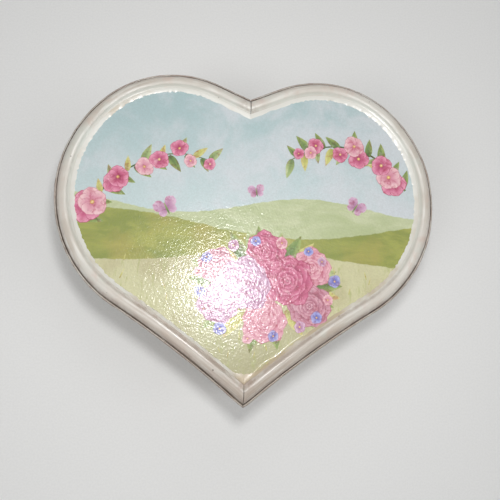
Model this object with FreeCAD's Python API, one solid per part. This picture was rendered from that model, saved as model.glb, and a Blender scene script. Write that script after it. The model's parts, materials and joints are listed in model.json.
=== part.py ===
"""Heart-shaped wind-up music box: a hinged, framed lid over a walled box with a pinned-cylinder movement.

Millimetres, +Z up. The origin is on the table under the middle of the heart. The tip of the heart
points to -Y, the cleft and the hinges are at +Y, and the winding key is under the floor.
"""

import FreeCAD, Part
import math
import os

from FreeCAD import Vector

# Heart outline: the right half is a chain of tangent pieces from the cleft, over the lobe, to the tip
CLEFT_SLOPE = 23.5
CLEFT_RUN = 17.4
LOBE_RADIUS = 53.4
LOBE_SWEEP = 64.8
SHOULDER_RADIUS = 66.3
SHOULDER_SWEEP = 106.9
WAIST_RADIUS = 510.0

# Heights of the case, from the table up
PAD_HEIGHT = 1.5
FLOOR_BOTTOM = 17.0
FLOOR_THICK = 4.0
WALL_TOP = 46.0
LID_GAP = 0.3
LID_RIM_HEIGHT = 8.0
MOULDING_HEIGHT = 6.4

# Case sections, measured inwards from the outline
WALL_INSET = 1.2
WALL_THICK = 6.0
DADO_DEPTH = 2.0
MOULDING_WIDTH = 9.0
RABBET_INSET = 5.0
RABBET_HEIGHT = 4.0
MITRE_GAP = 0.12
GLUE_GAP = 0.1
PANEL_THICK = 3.6
PRINT_THICK = 0.3
LINING_THICK = 0.9
LID_LINING_THICK = 1.0
FLOOR_LINING_THICK = 1.2
MIRROR_INSET = 17.0
MIRROR_THICK = 2.0
MIRROR_BEVEL_DEEP = 0.9
PAD_RADIUS = 2.8

# Butt hinges let into the wall and the lid rim at the top of each lobe
HINGE_LENGTH = 18.0
LEAF_THICK = 1.0
LEAF_DEPTH = 4.6
KNUCKLE_RADIUS = 1.6
HINGE_PIN_RADIUS = 0.7
RUNNING_GAP = 0.05
KNUCKLE_SHARE = 0.4
KNUCKLE_GAP = 0.2
NOTCH_GAP = 0.3
HINGE_SCREW_SPREAD = 6.0
HINGE_SCREW_RADIUS = 0.8
HINGE_SCREW_HEAD_RADIUS = 1.5
HINGE_SCREW_LENGTH = 6.0

# Movement: its own origin is on the winding axis, at the top of the floor panel
MOVEMENT_X = -16.0
MOVEMENT_Y = 12.0
BEDPLATE_THICK = 2.0
BEDPLATE_RIGHT = 45.5
BEDPLATE_FRONT = -23.0
BEDPLATE_BACK = 18.6
BEDPLATE_ROUND = 13.5
DRUM_RADIUS = 11.0
DRUM_WALL = 0.8
DRUM_TOP = 9.0
ARBOR_RADIUS = 2.0
ARBOR_THREAD_RADIUS = 1.7
SPRING_THICK = 0.28
SPRING_PITCH = 0.86
SPRING_START = 2.9
SPRING_TURNS = 8
SPRING_STEPS = 18
SPRING_WIDTH = 5.0

# Gear train
WHEEL_TEETH = 36
PINION_TEETH = 16
BEVEL_MODULE = 0.6
BEVEL_FACE = 3.0
WHEEL_INNER = 8.0
WEB_TOP = 11.0
WEB_BOTTOM = 9.6
CYLINDER_GEAR_TEETH = 40
GOVERNOR_PINION_TEETH = 10
SPUR_MODULE = 0.3
WORM_WHEEL_TEETH = 24
WORM_STARTS = 3
WORM_MODULE = 0.4
WORM_RADIUS = 1.5
PRESSURE_ANGLE = 20.0
TOOTH_SHARE = 0.42
WORM_TOOTH_SHARE = 0.36

# Cylinder, comb and governor
AXIS_HEIGHT = 16.8
CYLINDER_RADIUS = 6.0
CYLINDER_LEFT = 14.4
CYLINDER_LENGTH = 18.0
CYLINDER_ARBOR_RADIUS = 0.9
PIN_HEIGHT = 0.8
PIN_WIDTH = 0.45
PINS_PER_NOTE = 4
NOTES = 18
NOTE_PITCH = 0.95
TOOTH_WIDTH = 0.7
COMB_GAP = 0.15
COMB_THICK = 1.3
COMB_TOOTH_THICK = 0.6
COMB_BACK = -22.6
COMB_LEFT = 13.6
COMB_RIGHT = 33.2
COMB_FOOT = -18.8
COMB_LOW_ROOT = -18.0
COMB_HIGH_ROOT = -13.6
POST_LEFT = (12.0, 13.4)
POST_RIGHT = (35.4, 36.6)
POST_HALF_WIDTH = 3.0
GEAR_WIDTH = 1.4
GOVERNOR_Y = 5.6
GOVERNOR_ARBOR_RADIUS = 0.6
FRAME_PLATE = (41.0, 42.2)
FRAME_SHELF = 17.4
FRAME_THICK = 1.2
PIVOT_RADIUS = 0.4
WORM_X = 38.6
WORM_LENGTH = 7.6
WORM_STEPS = 16
FAN_RADIUS = 4.6
FAN_BOTTOM = 2.8
FAN_HEIGHT = 3.0

# Clear cover and the lever that the lid presses
COVER_WALL = 1.5
COVER_LEFT = -14.0
COVER_RIGHT = 46.6
COVER_FRONT = -24.0
COVER_BACK = 19.6
COVER_INSIDE_TOP = 24.4
LEVER_Y = 17.0
LEVER_THICK = 0.8
LEVER_PIVOT_Z = 5.0
LEVER_WIRE_X = 28.0
LEVER_WIRE_RADIUS = 0.6
LEVER_PIN_RADIUS = 0.9
LEVER_CLEARANCE = 0.3
COVER_FLANGE = 3.0

# Fixings inside the movement, on the movement's own plan
FIXING_SPOTS = [(1.0, -18.5), (40.5, -18.5), (9.0, 13.6)]
FIXING_RADIUS = 1.25
COMB_SCREW_SPOTS = [(18.0, -20.7), (28.8, -20.7)]
COMB_SCREW_RADIUS = 0.9
FRAME_SCREW = (44.0, 2.0)
FRAME_SCREW_RADIUS = 0.8
CLICK_SPOT = (5.9, 2.3)

Z = Vector(0, 0, 1)
X = Vector(1, 0, 0)
Y = Vector(0, 1, 0)
ORIGIN = Vector(0, 0, 0)
FAR = 400.0

FLOOR_TOP = FLOOR_BOTTOM + FLOOR_THICK
LID_BOTTOM = WALL_TOP + LID_GAP
MOULDING_BOTTOM = LID_BOTTOM + LID_RIM_HEIGHT
WALL_INNER = WALL_INSET + WALL_THICK
LEVER_TIP = MOULDING_BOTTOM - LID_LINING_THICK - MIRROR_THICK - FLOOR_TOP - LEVER_CLEARANCE

WHEEL_RADIUS = BEVEL_MODULE * WHEEL_TEETH / 2
WHEEL_OUTER = WHEEL_RADIUS + 0.6
PINION_RADIUS = BEVEL_MODULE * PINION_TEETH / 2
BEVEL_CONE = math.hypot(WHEEL_RADIUS, PINION_RADIUS)
SPUR_DISTANCE = SPUR_MODULE * (CYLINDER_GEAR_TEETH + GOVERNOR_PINION_TEETH) / 2
GEAR_LEFT = CYLINDER_LEFT + CYLINDER_LENGTH + 0.4
GOVERNOR_Z = AXIS_HEIGHT - math.sqrt(SPUR_DISTANCE**2 - GOVERNOR_Y**2)
WORM_WHEEL_RADIUS = WORM_MODULE * WORM_WHEEL_TEETH / 2
WORM_Y = GOVERNOR_Y + WORM_WHEEL_RADIUS + WORM_RADIUS
WORM_LEAD = math.pi * WORM_MODULE * WORM_STARTS
COMB_BOTTOM = AXIS_HEIGHT - 0.9


def unit(degrees):
    """Unit vector in the plan, at an angle from +X."""
    return Vector(math.cos(math.radians(degrees)), math.sin(math.radians(degrees)), 0)


def right_of(degrees):
    """Unit vector to the right of a heading, which points into the heart."""
    return unit(degrees - 90)


HEAD_LINE = CLEFT_SLOPE
HEAD_LOBE = HEAD_LINE - LOBE_SWEEP
HEAD_SIDE = HEAD_LOBE - SHOULDER_SWEEP


def outline_frame():
    """Arc centres and the cleft, with the heart's length centred on the origin."""
    line_end = unit(HEAD_LINE) * CLEFT_RUN
    lobe = line_end + right_of(HEAD_LINE) * LOBE_RADIUS
    shoulder = lobe + right_of(HEAD_LOBE) * (SHOULDER_RADIUS - LOBE_RADIUS)
    waist = shoulder - right_of(HEAD_SIDE) * (SHOULDER_RADIUS + WAIST_RADIUS)
    tip_y = waist.y + math.sqrt(WAIST_RADIUS**2 - waist.x**2)
    shift = Vector(0, -(lobe.y + LOBE_RADIUS + tip_y) / 2, 0)
    return shift, lobe + shift, shoulder + shift, waist + shift


CLEFT, LOBE_CENTRE, SHOULDER_CENTRE, WAIST_CENTRE = outline_frame()
LOBE_TOP_Y = LOBE_CENTRE.y + LOBE_RADIUS
HINGE_X = LOBE_CENTRE.x
HINGE_Y = LOBE_TOP_Y - KNUCKLE_RADIUS - GLUE_GAP
HINGE_Z = WALL_TOP + LID_GAP / 2


def half_outline(inset):
    """Edges of the right half, from the cleft to the tip, moved inwards by inset."""
    lobe_r = LOBE_RADIUS - inset
    side_r = SHOULDER_RADIUS - inset
    waist_r = WAIST_RADIUS + inset
    start = Vector(0, CLEFT.y - inset / math.cos(math.radians(CLEFT_SLOPE)), 0)
    lobe_in = LOBE_CENTRE - right_of(HEAD_LINE) * lobe_r
    lobe_mid = LOBE_CENTRE - right_of((HEAD_LINE + HEAD_LOBE) / 2) * lobe_r
    lobe_out = LOBE_CENTRE - right_of(HEAD_LOBE) * lobe_r
    side_mid = SHOULDER_CENTRE - right_of((HEAD_LOBE + HEAD_SIDE) / 2) * side_r
    side_out = SHOULDER_CENTRE - right_of(HEAD_SIDE) * side_r
    tip = Vector(0, WAIST_CENTRE.y + math.sqrt(waist_r**2 - WAIST_CENTRE.x**2), 0)
    between = (side_out + tip) * 0.5 - WAIST_CENTRE
    waist_mid = WAIST_CENTRE + between * (waist_r / between.Length)
    return [
        Part.LineSegment(start, lobe_in).toShape(),
        Part.Arc(lobe_in, lobe_mid, lobe_out).toShape(),
        Part.Arc(lobe_out, side_mid, side_out).toShape(),
        Part.Arc(side_out, waist_mid, tip).toShape(),
    ]


def heart(inset, bottom, top):
    """A whole heart-shaped slab."""
    edges = half_outline(inset)
    other = [e.mirror(ORIGIN, X) for e in edges]
    wire = Part.Wire(Part.__sortEdges__(edges + other))
    slab = Part.Face(wire).extrude(Z * (top - bottom))
    slab.translate(Z * bottom)
    return slab


def right_half(shape):
    """The part of a shape on the right of the mitre."""
    block = Part.makeBox(FAR, 2 * FAR, 2 * FAR, Vector(MITRE_GAP / 2, -FAR, -FAR))
    return shape.common(block)


def half_ring(outer, inner, bottom, top):
    """The right half of a heart-shaped wall, mitred at the cleft and the tip."""
    return right_half(heart(outer, bottom, top).cut(heart(inner, bottom, top)))


def mirrored(shape):
    """The left-hand twin of a right-hand piece."""
    return shape.mirror(ORIGIN, X)


def cylinder(radius, start, axis, length):
    return Part.makeCylinder(radius, length, start, axis)


def box(x0, x1, y0, y1, z0, z1):
    return Part.makeBox(x1 - x0, y1 - y0, z1 - z0, Vector(x0, y0, z0))


def fuse(shapes):
    return shapes[0].multiFuse(shapes[1:]).removeSplitter()


def prism(sides, radius, bottom, top):
    """A regular upright prism about the winding axis, with a flat towards +X."""
    turns = [(2 * k + 1) * math.pi / sides for k in range(sides)]
    ring = [Vector(radius * math.cos(t), radius * math.sin(t), bottom) for t in turns]
    return closed_face(ring).extrude(Z * (top - bottom))


def closed_face(points):
    return Part.Face(Part.makePolygon(list(points) + [points[0]]))


def facets(start, middle, end, count):
    """Points along an arc of the profile, without its first one."""
    arc = Part.Arc(*[Vector(u, v, 0) for u, v in (start, middle, end)]).toShape()
    return [(p.x, p.y) for p in arc.discretize(Number=count + 1)[1:]]


def moulding_profile():
    """The moulding's section as (inwards, up) points: fillet, quirk, broad crown, cove, lip and rabbet."""
    crest = (6.1, MOULDING_HEIGHT)
    lip = MOULDING_WIDTH
    points = [(0.0, 0.0), (0.0, 1.9)]
    points += facets((0.0, 1.9), (0.3, 2.35), (0.85, 2.55), 2)
    points += [(1.25, 2.05), (1.55, 2.6)]
    points += facets((1.55, 2.6), (2.15, 4.3), (3.4, 5.6), 5)
    points += facets((3.4, 5.6), (4.8, 6.2), crest, 3)
    points += facets(crest, (6.75, 6.15), (7.1, 5.7), 3)
    points += facets((7.1, 5.7), (7.7, 5.05), (8.5, 4.7), 3)
    points += [(lip, 4.6), (lip, RABBET_HEIGHT), (RABBET_INSET, RABBET_HEIGHT), (RABBET_INSET, 0.0)]
    return points


def swept_moulding():
    """The right moulding: its section run along the outline, cut square at the mitres."""
    profile = moulding_profile()

    def section(at, normal):
        return closed_face([at + normal * u + Z * (MOULDING_BOTTOM + v) for u, v in profile])

    past_mitre = 2 * MOULDING_WIDTH
    lobe_start = CLEFT + unit(HEAD_LINE) * CLEFT_RUN
    side_start = LOBE_CENTRE - right_of(HEAD_LOBE) * LOBE_RADIUS
    waist_start = SHOULDER_CENTRE - right_of(HEAD_SIDE) * SHOULDER_RADIUS
    past_tip = math.degrees(waist_start.x / WAIST_RADIUS) * 1.35
    at_lobe = section(lobe_start, right_of(HEAD_LINE))
    runs = [
        at_lobe.extrude(unit(HEAD_LINE) * -(CLEFT_RUN + past_mitre)),
        at_lobe.revolve(LOBE_CENTRE, Z, -LOBE_SWEEP),
        section(side_start, right_of(HEAD_LOBE)).revolve(SHOULDER_CENTRE, Z, -SHOULDER_SWEEP),
        section(waist_start, right_of(HEAD_SIDE)).revolve(WAIST_CENTRE, Z, past_tip),
    ]
    return right_half(fuse(runs))


def hinge_screw(x, up):
    """A countersunk screw through a leaf; up is +1 for the lid's leaf and -1 for the box's leaf."""
    face = HINGE_Z + up * LID_GAP / 2
    centre = Vector(x, HINGE_Y - KNUCKLE_RADIUS - LEAF_DEPTH * 0.42, face)
    spread = HINGE_SCREW_HEAD_RADIUS - HINGE_SCREW_RADIUS
    head = Part.makeCone(HINGE_SCREW_HEAD_RADIUS, HINGE_SCREW_RADIUS, spread, centre, Z * up)
    shank = cylinder(HINGE_SCREW_RADIUS, centre, Z * up, HINGE_SCREW_LENGTH)
    return fuse([head, shank])


def hinge_screws(up):
    """The four screws of one kind of leaf."""
    places = [s * HINGE_X + d * HINGE_SCREW_SPREAD for s in (-1, 1) for d in (-1, 1)]
    return [hinge_screw(x, up) for x in places]


def screw_holes(up):
    """Pilot holes for the hinge screws, a hair wider than the shanks."""
    holes = []
    for x in [s * HINGE_X + d * HINGE_SCREW_SPREAD for s in (-1, 1) for d in (-1, 1)]:
        start = Vector(x, HINGE_Y - KNUCKLE_RADIUS - LEAF_DEPTH * 0.42, HINGE_Z)
        holes.append(cylinder(HINGE_SCREW_RADIUS + RUNNING_GAP, start, Z * up, HINGE_SCREW_LENGTH + 1))
    return holes


def barrel_space(x0, x1, y1):
    """The room that a stretch of the hinge's barrel turns in, open to the back."""
    reach = KNUCKLE_RADIUS + NOTCH_GAP
    return box(x0, x1, HINGE_Y - reach, y1, HINGE_Z - reach, HINGE_Z + reach)


def hinge_leaf(side, up):
    """A leaf with its share of the knuckles; the lid's leaf has the middle one."""
    half = HINGE_LENGTH / 2
    middle = half * KNUCKLE_SHARE
    x = side * HINGE_X
    flat = HINGE_Z + up * LID_GAP / 2
    low, high = sorted((flat, flat + up * LEAF_THICK))
    back = HINGE_Y - KNUCKLE_RADIUS - LEAF_DEPTH
    plate = box(x - half, x + half, back, HINGE_Y, low, high)
    if up > 0:
        spans = [(-middle + KNUCKLE_GAP / 2, middle - KNUCKLE_GAP / 2)]
        gaps = [(-half - 1, -middle + KNUCKLE_GAP / 2), (middle - KNUCKLE_GAP / 2, half + 1)]
    else:
        spans = [(-half, -middle - KNUCKLE_GAP / 2), (middle + KNUCKLE_GAP / 2, half)]
        gaps = [(-middle - KNUCKLE_GAP / 2, middle + KNUCKLE_GAP / 2)]
    barrels = [cylinder(KNUCKLE_RADIUS, Vector(x + a, HINGE_Y, HINGE_Z), X, b - a) for a, b in spans]
    leaf = fuse([plate] + barrels)
    for a, b in gaps:
        leaf = leaf.cut(barrel_space(x + a, x + b, HINGE_Y + 2 * KNUCKLE_RADIUS))
    start = Vector(x - half - 1, HINGE_Y, HINGE_Z)
    leaf = leaf.cut(cylinder(HINGE_PIN_RADIUS + RUNNING_GAP, start, X, HINGE_LENGTH + 2))
    for screw in hinge_screws(up):
        leaf = leaf.cut(screw)
    return leaf.removeSplitter()


def hinge_pin(side):
    start = Vector(side * HINGE_X - HINGE_LENGTH / 2, HINGE_Y, HINGE_Z)
    return cylinder(HINGE_PIN_RADIUS, start, X, HINGE_LENGTH)


def hinge_recess(up):
    """The mortise and the barrel notch for the right-hand hinge."""
    half = HINGE_LENGTH / 2 + GLUE_GAP
    low, high = sorted((HINGE_Z, HINGE_Z + up * (LID_GAP / 2 + LEAF_THICK)))
    back = HINGE_Y - KNUCKLE_RADIUS - LEAF_DEPTH - GLUE_GAP
    mortise = box(HINGE_X - half, HINGE_X + half, back, HINGE_Y + 10, low, high)
    return [mortise, barrel_space(HINGE_X - half, HINGE_X + half, HINGE_Y + 10)]


def wall():
    """The right wall, grooved for the floor and let out for the hinge."""
    ring = half_ring(WALL_INSET, WALL_INNER, PAD_HEIGHT, WALL_TOP)
    dado = heart(WALL_INNER - DADO_DEPTH, FLOOR_BOTTOM, FLOOR_TOP)
    return ring.cut(hinge_recess(-1) + screw_holes(-1) + [dado])


def lid_rim():
    """The right lid rim, let out for the hinge."""
    ring = half_ring(WALL_INSET, WALL_INNER, LID_BOTTOM, MOULDING_BOTTOM)
    return ring.cut(hinge_recess(1) + screw_holes(1))


def felt_pads():
    """Round pads under the middle of the wall's thickness: tip, sides and lobes."""
    inset = WALL_INSET + WALL_THICK / 2
    lobe, side, waist = half_outline(inset)[1:]
    spots = [lobe.valueAt((lobe.FirstParameter + lobe.LastParameter) / 2)]
    spots += [side.valueAt(side.FirstParameter + 0.55 * (side.LastParameter - side.FirstParameter))]
    spots += [waist.valueAt(waist.FirstParameter + 0.8 * (waist.LastParameter - waist.FirstParameter))]
    spots += [Vector(-p.x, p.y, 0) for p in spots]
    return [cylinder(PAD_RADIUS, p, Z, PAD_HEIGHT) for p in spots]


def floor_panel():
    """The board in the walls' groove, drilled for the winding arbor and the fixing screws."""
    panel = heart(WALL_INNER - DADO_DEPTH + GLUE_GAP, FLOOR_BOTTOM, FLOOR_TOP)
    holes = [(0.0, 0.0, ARBOR_RADIUS + 1.5)]
    holes += [(x, y, FIXING_RADIUS + 0.15) for x, y in FIXING_SPOTS]
    below = -FLOOR_THICK - 1
    return panel.cut([cylinder(r, movement_point(x, y, below), Z, FLOOR_THICK + 2) for x, y, r in holes])


def floor_lining():
    """Velvet on the floor, cut out around the movement's cover."""
    lining = heart(WALL_INNER + LINING_THICK + 2 * GLUE_GAP, FLOOR_TOP, FLOOR_TOP + FLOOR_LINING_THICK)
    margin = COVER_WALL + COVER_FLANGE + 0.3
    low = movement_point(COVER_LEFT - margin, COVER_FRONT - margin, -1)
    high = movement_point(COVER_RIGHT + margin, COVER_BACK + margin, 5)
    return lining.cut(box(low.x, high.x, low.y, high.y, low.z, high.z))


def lid_mirror():
    """Heart-shaped glass with a bevelled edge, facing down."""
    top = MOULDING_BOTTOM - LID_LINING_THICK
    bottom = top - MIRROR_THICK
    glass = heart(MIRROR_INSET, bottom, top)
    lower = [e for e in glass.Edges if e.BoundBox.ZMax < bottom + 0.01]
    return glass.makeChamfer(MIRROR_BEVEL_DEEP, MIRROR_BEVEL_DEEP, lower)


def movement_point(x, y, z):
    """A point of the movement in the box's frame."""
    return Vector(MOVEMENT_X + x, MOVEMENT_Y + y, FLOOR_TOP + z)


def in_movement(shape):
    """A movement piece carried to its place in the box."""
    placed = shape.copy()
    placed.translate(movement_point(0, 0, 0))
    return placed


def rounded_box(x0, x1, y0, y1, z0, z1, radius):
    """A box with its four upright edges rounded."""
    block = box(x0, x1, y0, y1, z0, z1)
    upright = [e for e in block.Edges if abs(e.BoundBox.ZLength - (z1 - z0)) < 1e-6]
    return block.makeFillet(radius, upright)


def bedplate():
    """Cast plate with bearing posts, the comb's foot, fixing bosses and the lever's lug."""
    plate = rounded_box(-4, BEDPLATE_RIGHT, BEDPLATE_FRONT, BEDPLATE_BACK, 0, BEDPLATE_THICK, 3.0)
    lobe = cylinder(BEDPLATE_ROUND, ORIGIN, Z, BEDPLATE_THICK)
    posts = [bearing_post(POST_LEFT), bearing_post(POST_RIGHT)]
    arm = box(POST_RIGHT[0], POST_RIGHT[1], 0, GOVERNOR_Y + 1.6, BEDPLATE_THICK, GOVERNOR_Z + 1.8)
    foot = box(COMB_LEFT, COMB_RIGHT, COMB_BACK, COMB_FOOT, BEDPLATE_THICK, COMB_BOTTOM)
    lug = box(-2.2, 2.2, LEVER_Y - 2.2, LEVER_Y - 0.2, BEDPLATE_THICK, LEVER_PIVOT_Z + 2.2)
    bosses = [cylinder(2.6, Vector(x, y, 0), Z, 5.5) for x, y in FIXING_SPOTS]
    body = fuse([plate, lobe, arm, foot, lug] + posts + bosses)
    axis = Vector(0, 0, AXIS_HEIGHT)
    cuts = [
        cylinder(ARBOR_RADIUS + RUNNING_GAP, Vector(0, 0, -1), Z, 10),
        cylinder(CYLINDER_ARBOR_RADIUS + RUNNING_GAP, axis, X, 60),
        cylinder(GOVERNOR_ARBOR_RADIUS + RUNNING_GAP, Vector(30, GOVERNOR_Y, GOVERNOR_Z), X, 8),
        cylinder(PIVOT_RADIUS + RUNNING_GAP, Vector(WORM_X, WORM_Y, 0.8), Z, 5),
        cylinder(FRAME_SCREW_RADIUS + RUNNING_GAP, Vector(FRAME_SCREW[0], FRAME_SCREW[1], -1), Z, 5),
        cylinder(LEVER_PIN_RADIUS + RUNNING_GAP, Vector(0, LEVER_Y - 3, LEVER_PIVOT_Z), Y, 4),
    ]
    cuts += [cylinder(FIXING_RADIUS + RUNNING_GAP, Vector(x, y, -1), Z, 5.9) for x, y in FIXING_SPOTS]
    for x, y in COMB_SCREW_SPOTS:
        cuts.append(cylinder(COMB_SCREW_RADIUS + RUNNING_GAP, Vector(x, y, 8), Z, 12))
    return body.cut(cuts)


def bearing_post(span):
    """An upright post with a round head about the cylinder's axis."""
    half = POST_HALF_WIDTH
    stem = box(span[0], span[1], -half, half, BEDPLATE_THICK, AXIS_HEIGHT)
    head = cylinder(half, Vector(span[0], 0, AXIS_HEIGHT), X, span[1] - span[0])
    return fuse([stem, head])


def spring_housing():
    """A drawn drum, open below, with a bevelled shoulder and a hole for the arbor."""
    drum = cylinder(DRUM_RADIUS, Z * BEDPLATE_THICK, Z, DRUM_TOP - BEDPLATE_THICK)
    shoulder = [e for e in drum.Edges if e.BoundBox.ZMin > DRUM_TOP - 0.01]
    drum = drum.makeChamfer(0.8, shoulder)
    hollow = cylinder(DRUM_RADIUS - DRUM_WALL, Z * BEDPLATE_THICK, Z, DRUM_TOP - DRUM_WALL - BEDPLATE_THICK)
    hole = cylinder(ARBOR_RADIUS + 0.3, ORIGIN, Z, 20)
    return drum.cut([hollow, hole])


def mainspring():
    """A flat spiral strip from the arbor out to the drum's wall."""
    steps = SPRING_TURNS * SPRING_STEPS
    inner = []
    outer = []
    for k in range(steps + 1):
        turn = 2 * math.pi * k / SPRING_STEPS
        radius = SPRING_START + SPRING_PITCH * k / SPRING_STEPS
        way = Vector(math.cos(turn), math.sin(turn), 0)
        inner.append(way * radius)
        outer.append(way * (radius + SPRING_THICK))
    strip = closed_face(inner + outer[::-1]).extrude(Z * SPRING_WIDTH)
    strip.translate(Z * (BEDPLATE_THICK + 0.5))
    return strip


def winding_arbor():
    """The shaft through the drum, stepped down to the key's thread."""
    upper = cylinder(ARBOR_RADIUS, Z * -2.0, Z, 14.6)
    lower = cylinder(ARBOR_THREAD_RADIUS, Z * -10.0, Z, 9.0)
    return fuse([upper, lower])


def winding_key():
    """A butterfly key: a bored hub and two ringed wings."""
    hub = cylinder(3.0, Z * -11.5, Z, 6.7)
    wings = [box(-7, 7, -0.9, 0.9, -16.2, -9.6)]
    holes = []
    for side in (-1, 1):
        centre = Vector(side * 7.0, -0.9, -13.2)
        wings.append(cylinder(5.2, centre, Y, 1.8))
        holes.append(cylinder(2.5, centre - Y, Y, 4))
    key = fuse([hub] + wings).cut(holes + [cylinder(ARBOR_THREAD_RADIUS + 0.05, Z * -10.3, Z, 8)])
    return key.removeSplitter()


def tooth_half(height, radius, module, share):
    """Half the width of an involute tooth at a height above the pitch circle."""
    base = radius * math.cos(math.radians(PRESSURE_ANGLE))
    here = max(radius + height, base)
    angle = math.acos(base / here)
    at_pitch = math.radians(PRESSURE_ANGLE)
    turn = math.tan(at_pitch) - at_pitch - (math.tan(angle) - angle)
    return (share * math.pi * module / (2 * radius) + turn) * (radius + height)


def tooth_ring(teeth, levels, phase):
    """Points round a gear from (radius, half angle) levels given from root to tip."""
    points = []
    for k in range(teeth):
        centre = phase + 2 * math.pi * k / teeth
        for radius, half in levels:
            points.append((radius, centre - half))
        for radius, half in reversed(levels):
            points.append((radius, centre + half))
    return points


def spur_levels(teeth, module, share, above, below):
    """Root, pitch and tip of a straight tooth, with heights in modules."""
    radius = module * teeth / 2
    levels = []
    for height in (-below * module, 0.0, above * 0.55 * module, above * module):
        levels.append((radius + height, tooth_half(height, radius, module, share) / (radius + height)))
    return levels


def bevel_levels(teeth, mate, share, above, below):
    """The same for a bevel tooth, as radii one unit from the apex along the axis."""
    slope = math.atan2(teeth, mate)
    radius = BEVEL_MODULE * teeth / 2
    cone = radius / math.sin(slope)
    virtual = radius / math.cos(slope)
    levels = []
    for height in (-below * BEVEL_MODULE, 0.0, above * 0.55 * BEVEL_MODULE, above * BEVEL_MODULE):
        width = tooth_half(height, virtual, BEVEL_MODULE, share)
        lean = slope + math.atan2(height, cone)
        levels.append((math.tan(lean), width / (radius + height * math.cos(slope))))
    return levels


def side_faces(ring_a, ring_b, split):
    """Flat faces between two rings of points; split cuts each side into two triangles."""
    faces = []
    for k in range(len(ring_a)):
        n = (k + 1) % len(ring_a)
        a, b, c, d = ring_a[k], ring_a[n], ring_b[n], ring_b[k]
        if split:
            faces += [closed_face([a, b, c]), closed_face([a, c, d])]
        else:
            faces.append(closed_face([a, b, c, d]))
    return faces


def skin(ring_a, ring_b, split):
    """A flat-sided solid between two rings of points."""
    faces = [closed_face(ring_a), closed_face(ring_b)] + side_faces(ring_a, ring_b, split)
    solid = Part.makeSolid(Part.makeShell(faces))
    if solid.Volume < 0:
        solid.reverse()
    return solid


def about_x(ring, x, y, z, turn=0.0, scale=1.0):
    """Ring points (radius, angle) in a plane square to X; angles run from +Y towards +Z."""
    points = []
    for radius, angle in ring:
        r = radius * scale
        points.append(Vector(x, y + r * math.cos(angle + turn), z + r * math.sin(angle + turn)))
    return points


def about_z(ring, z, scale=1.0):
    """Ring points in a level plane; angles run from +X towards +Y."""
    return [Vector(r * scale * math.cos(a), r * scale * math.sin(a), z) for r, a in ring]


def great_wheel():
    """A bevel wheel facing up, with a thin web, running freely on the arbor."""
    levels = bevel_levels(WHEEL_TEETH, PINION_TEETH, TOOTH_SHARE, 0.9, 1.2)
    ring = tooth_ring(WHEEL_TEETH, levels, math.pi / WHEEL_TEETH)
    drops = (AXIS_HEIGHT - WEB_BOTTOM, 3.0)
    ends = [about_z(ring, AXIS_HEIGHT - drop, drop) for drop in drops]
    crown = skin(ends[0], ends[1], False)
    wheel = crown.common(prism(2 * WHEEL_TEETH, WHEEL_OUTER, WEB_BOTTOM, WEB_BOTTOM + 6))
    cuts = [
        prism(WHEEL_TEETH, WHEEL_INNER, WEB_TOP, WEB_TOP + 8),
        cylinder(ARBOR_RADIUS + RUNNING_GAP, ORIGIN, Z, 30),
        cylinder(0.55, Vector(CLICK_SPOT[0], CLICK_SPOT[1], 0), Z, 30),
    ]
    return wheel.cut(cuts)


def ratchet_wheel():
    """Saw teeth fixed on top of the arbor."""
    points = []
    for k in range(12):
        a = 2 * math.pi * k / 12
        points.append(Vector(4.2 * math.cos(a), 4.2 * math.sin(a), WEB_TOP + 0.15))
        points.append(Vector(3.3 * math.cos(a + 0.06), 3.3 * math.sin(a + 0.06), WEB_TOP + 0.15))
    plate = closed_face(points).extrude(Z * 1.2)
    return plate.cut(cylinder(ARBOR_RADIUS, ORIGIN, Z, 30))


def click():
    """The pawl that rides on the ratchet, on its own rivet in the great wheel."""
    x, y = CLICK_SPOT
    low = WEB_TOP + 0.15
    points = [(x + 0.9, y - 0.9), (x + 0.9, y + 1.0), (3.9, 3.5), (3.4, 3.35), (4.3, 2.7), (x - 0.7, y - 0.6)]
    pawl = closed_face([Vector(px, py, low) for px, py in points]).extrude(Z * 1.0)
    rivet = cylinder(0.5, Vector(x, y, WEB_BOTTOM), Z, low + 1.5 - WEB_BOTTOM)
    return fuse([pawl, rivet])


def cylinder_pinion():
    """The bevel pinion that the great wheel drives, with one tooth straight down at rest."""
    levels = bevel_levels(PINION_TEETH, WHEEL_TEETH, TOOTH_SHARE, 0.9, 1.2)
    ring = tooth_ring(PINION_TEETH, levels, -math.pi / 2)
    small = WHEEL_RADIUS * (1 - BEVEL_FACE / BEVEL_CONE)
    ends = [about_x(ring, d, 0, AXIS_HEIGHT, 0.0, d) for d in (small, WHEEL_RADIUS)]
    bore = cylinder(CYLINDER_ARBOR_RADIUS, Vector(0, 0, AXIS_HEIGHT), X, 20)
    return skin(ends[0], ends[1], False).cut(bore)


def cylinder_arbor():
    return cylinder(CYLINDER_ARBOR_RADIUS, Vector(7.4, 0, AXIS_HEIGHT), X, POST_RIGHT[1] + 0.6 - 7.4)


def note_x(note):
    return CYLINDER_LEFT + (CYLINDER_LENGTH - NOTE_PITCH * (NOTES - 1)) / 2 + NOTE_PITCH * note


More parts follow.
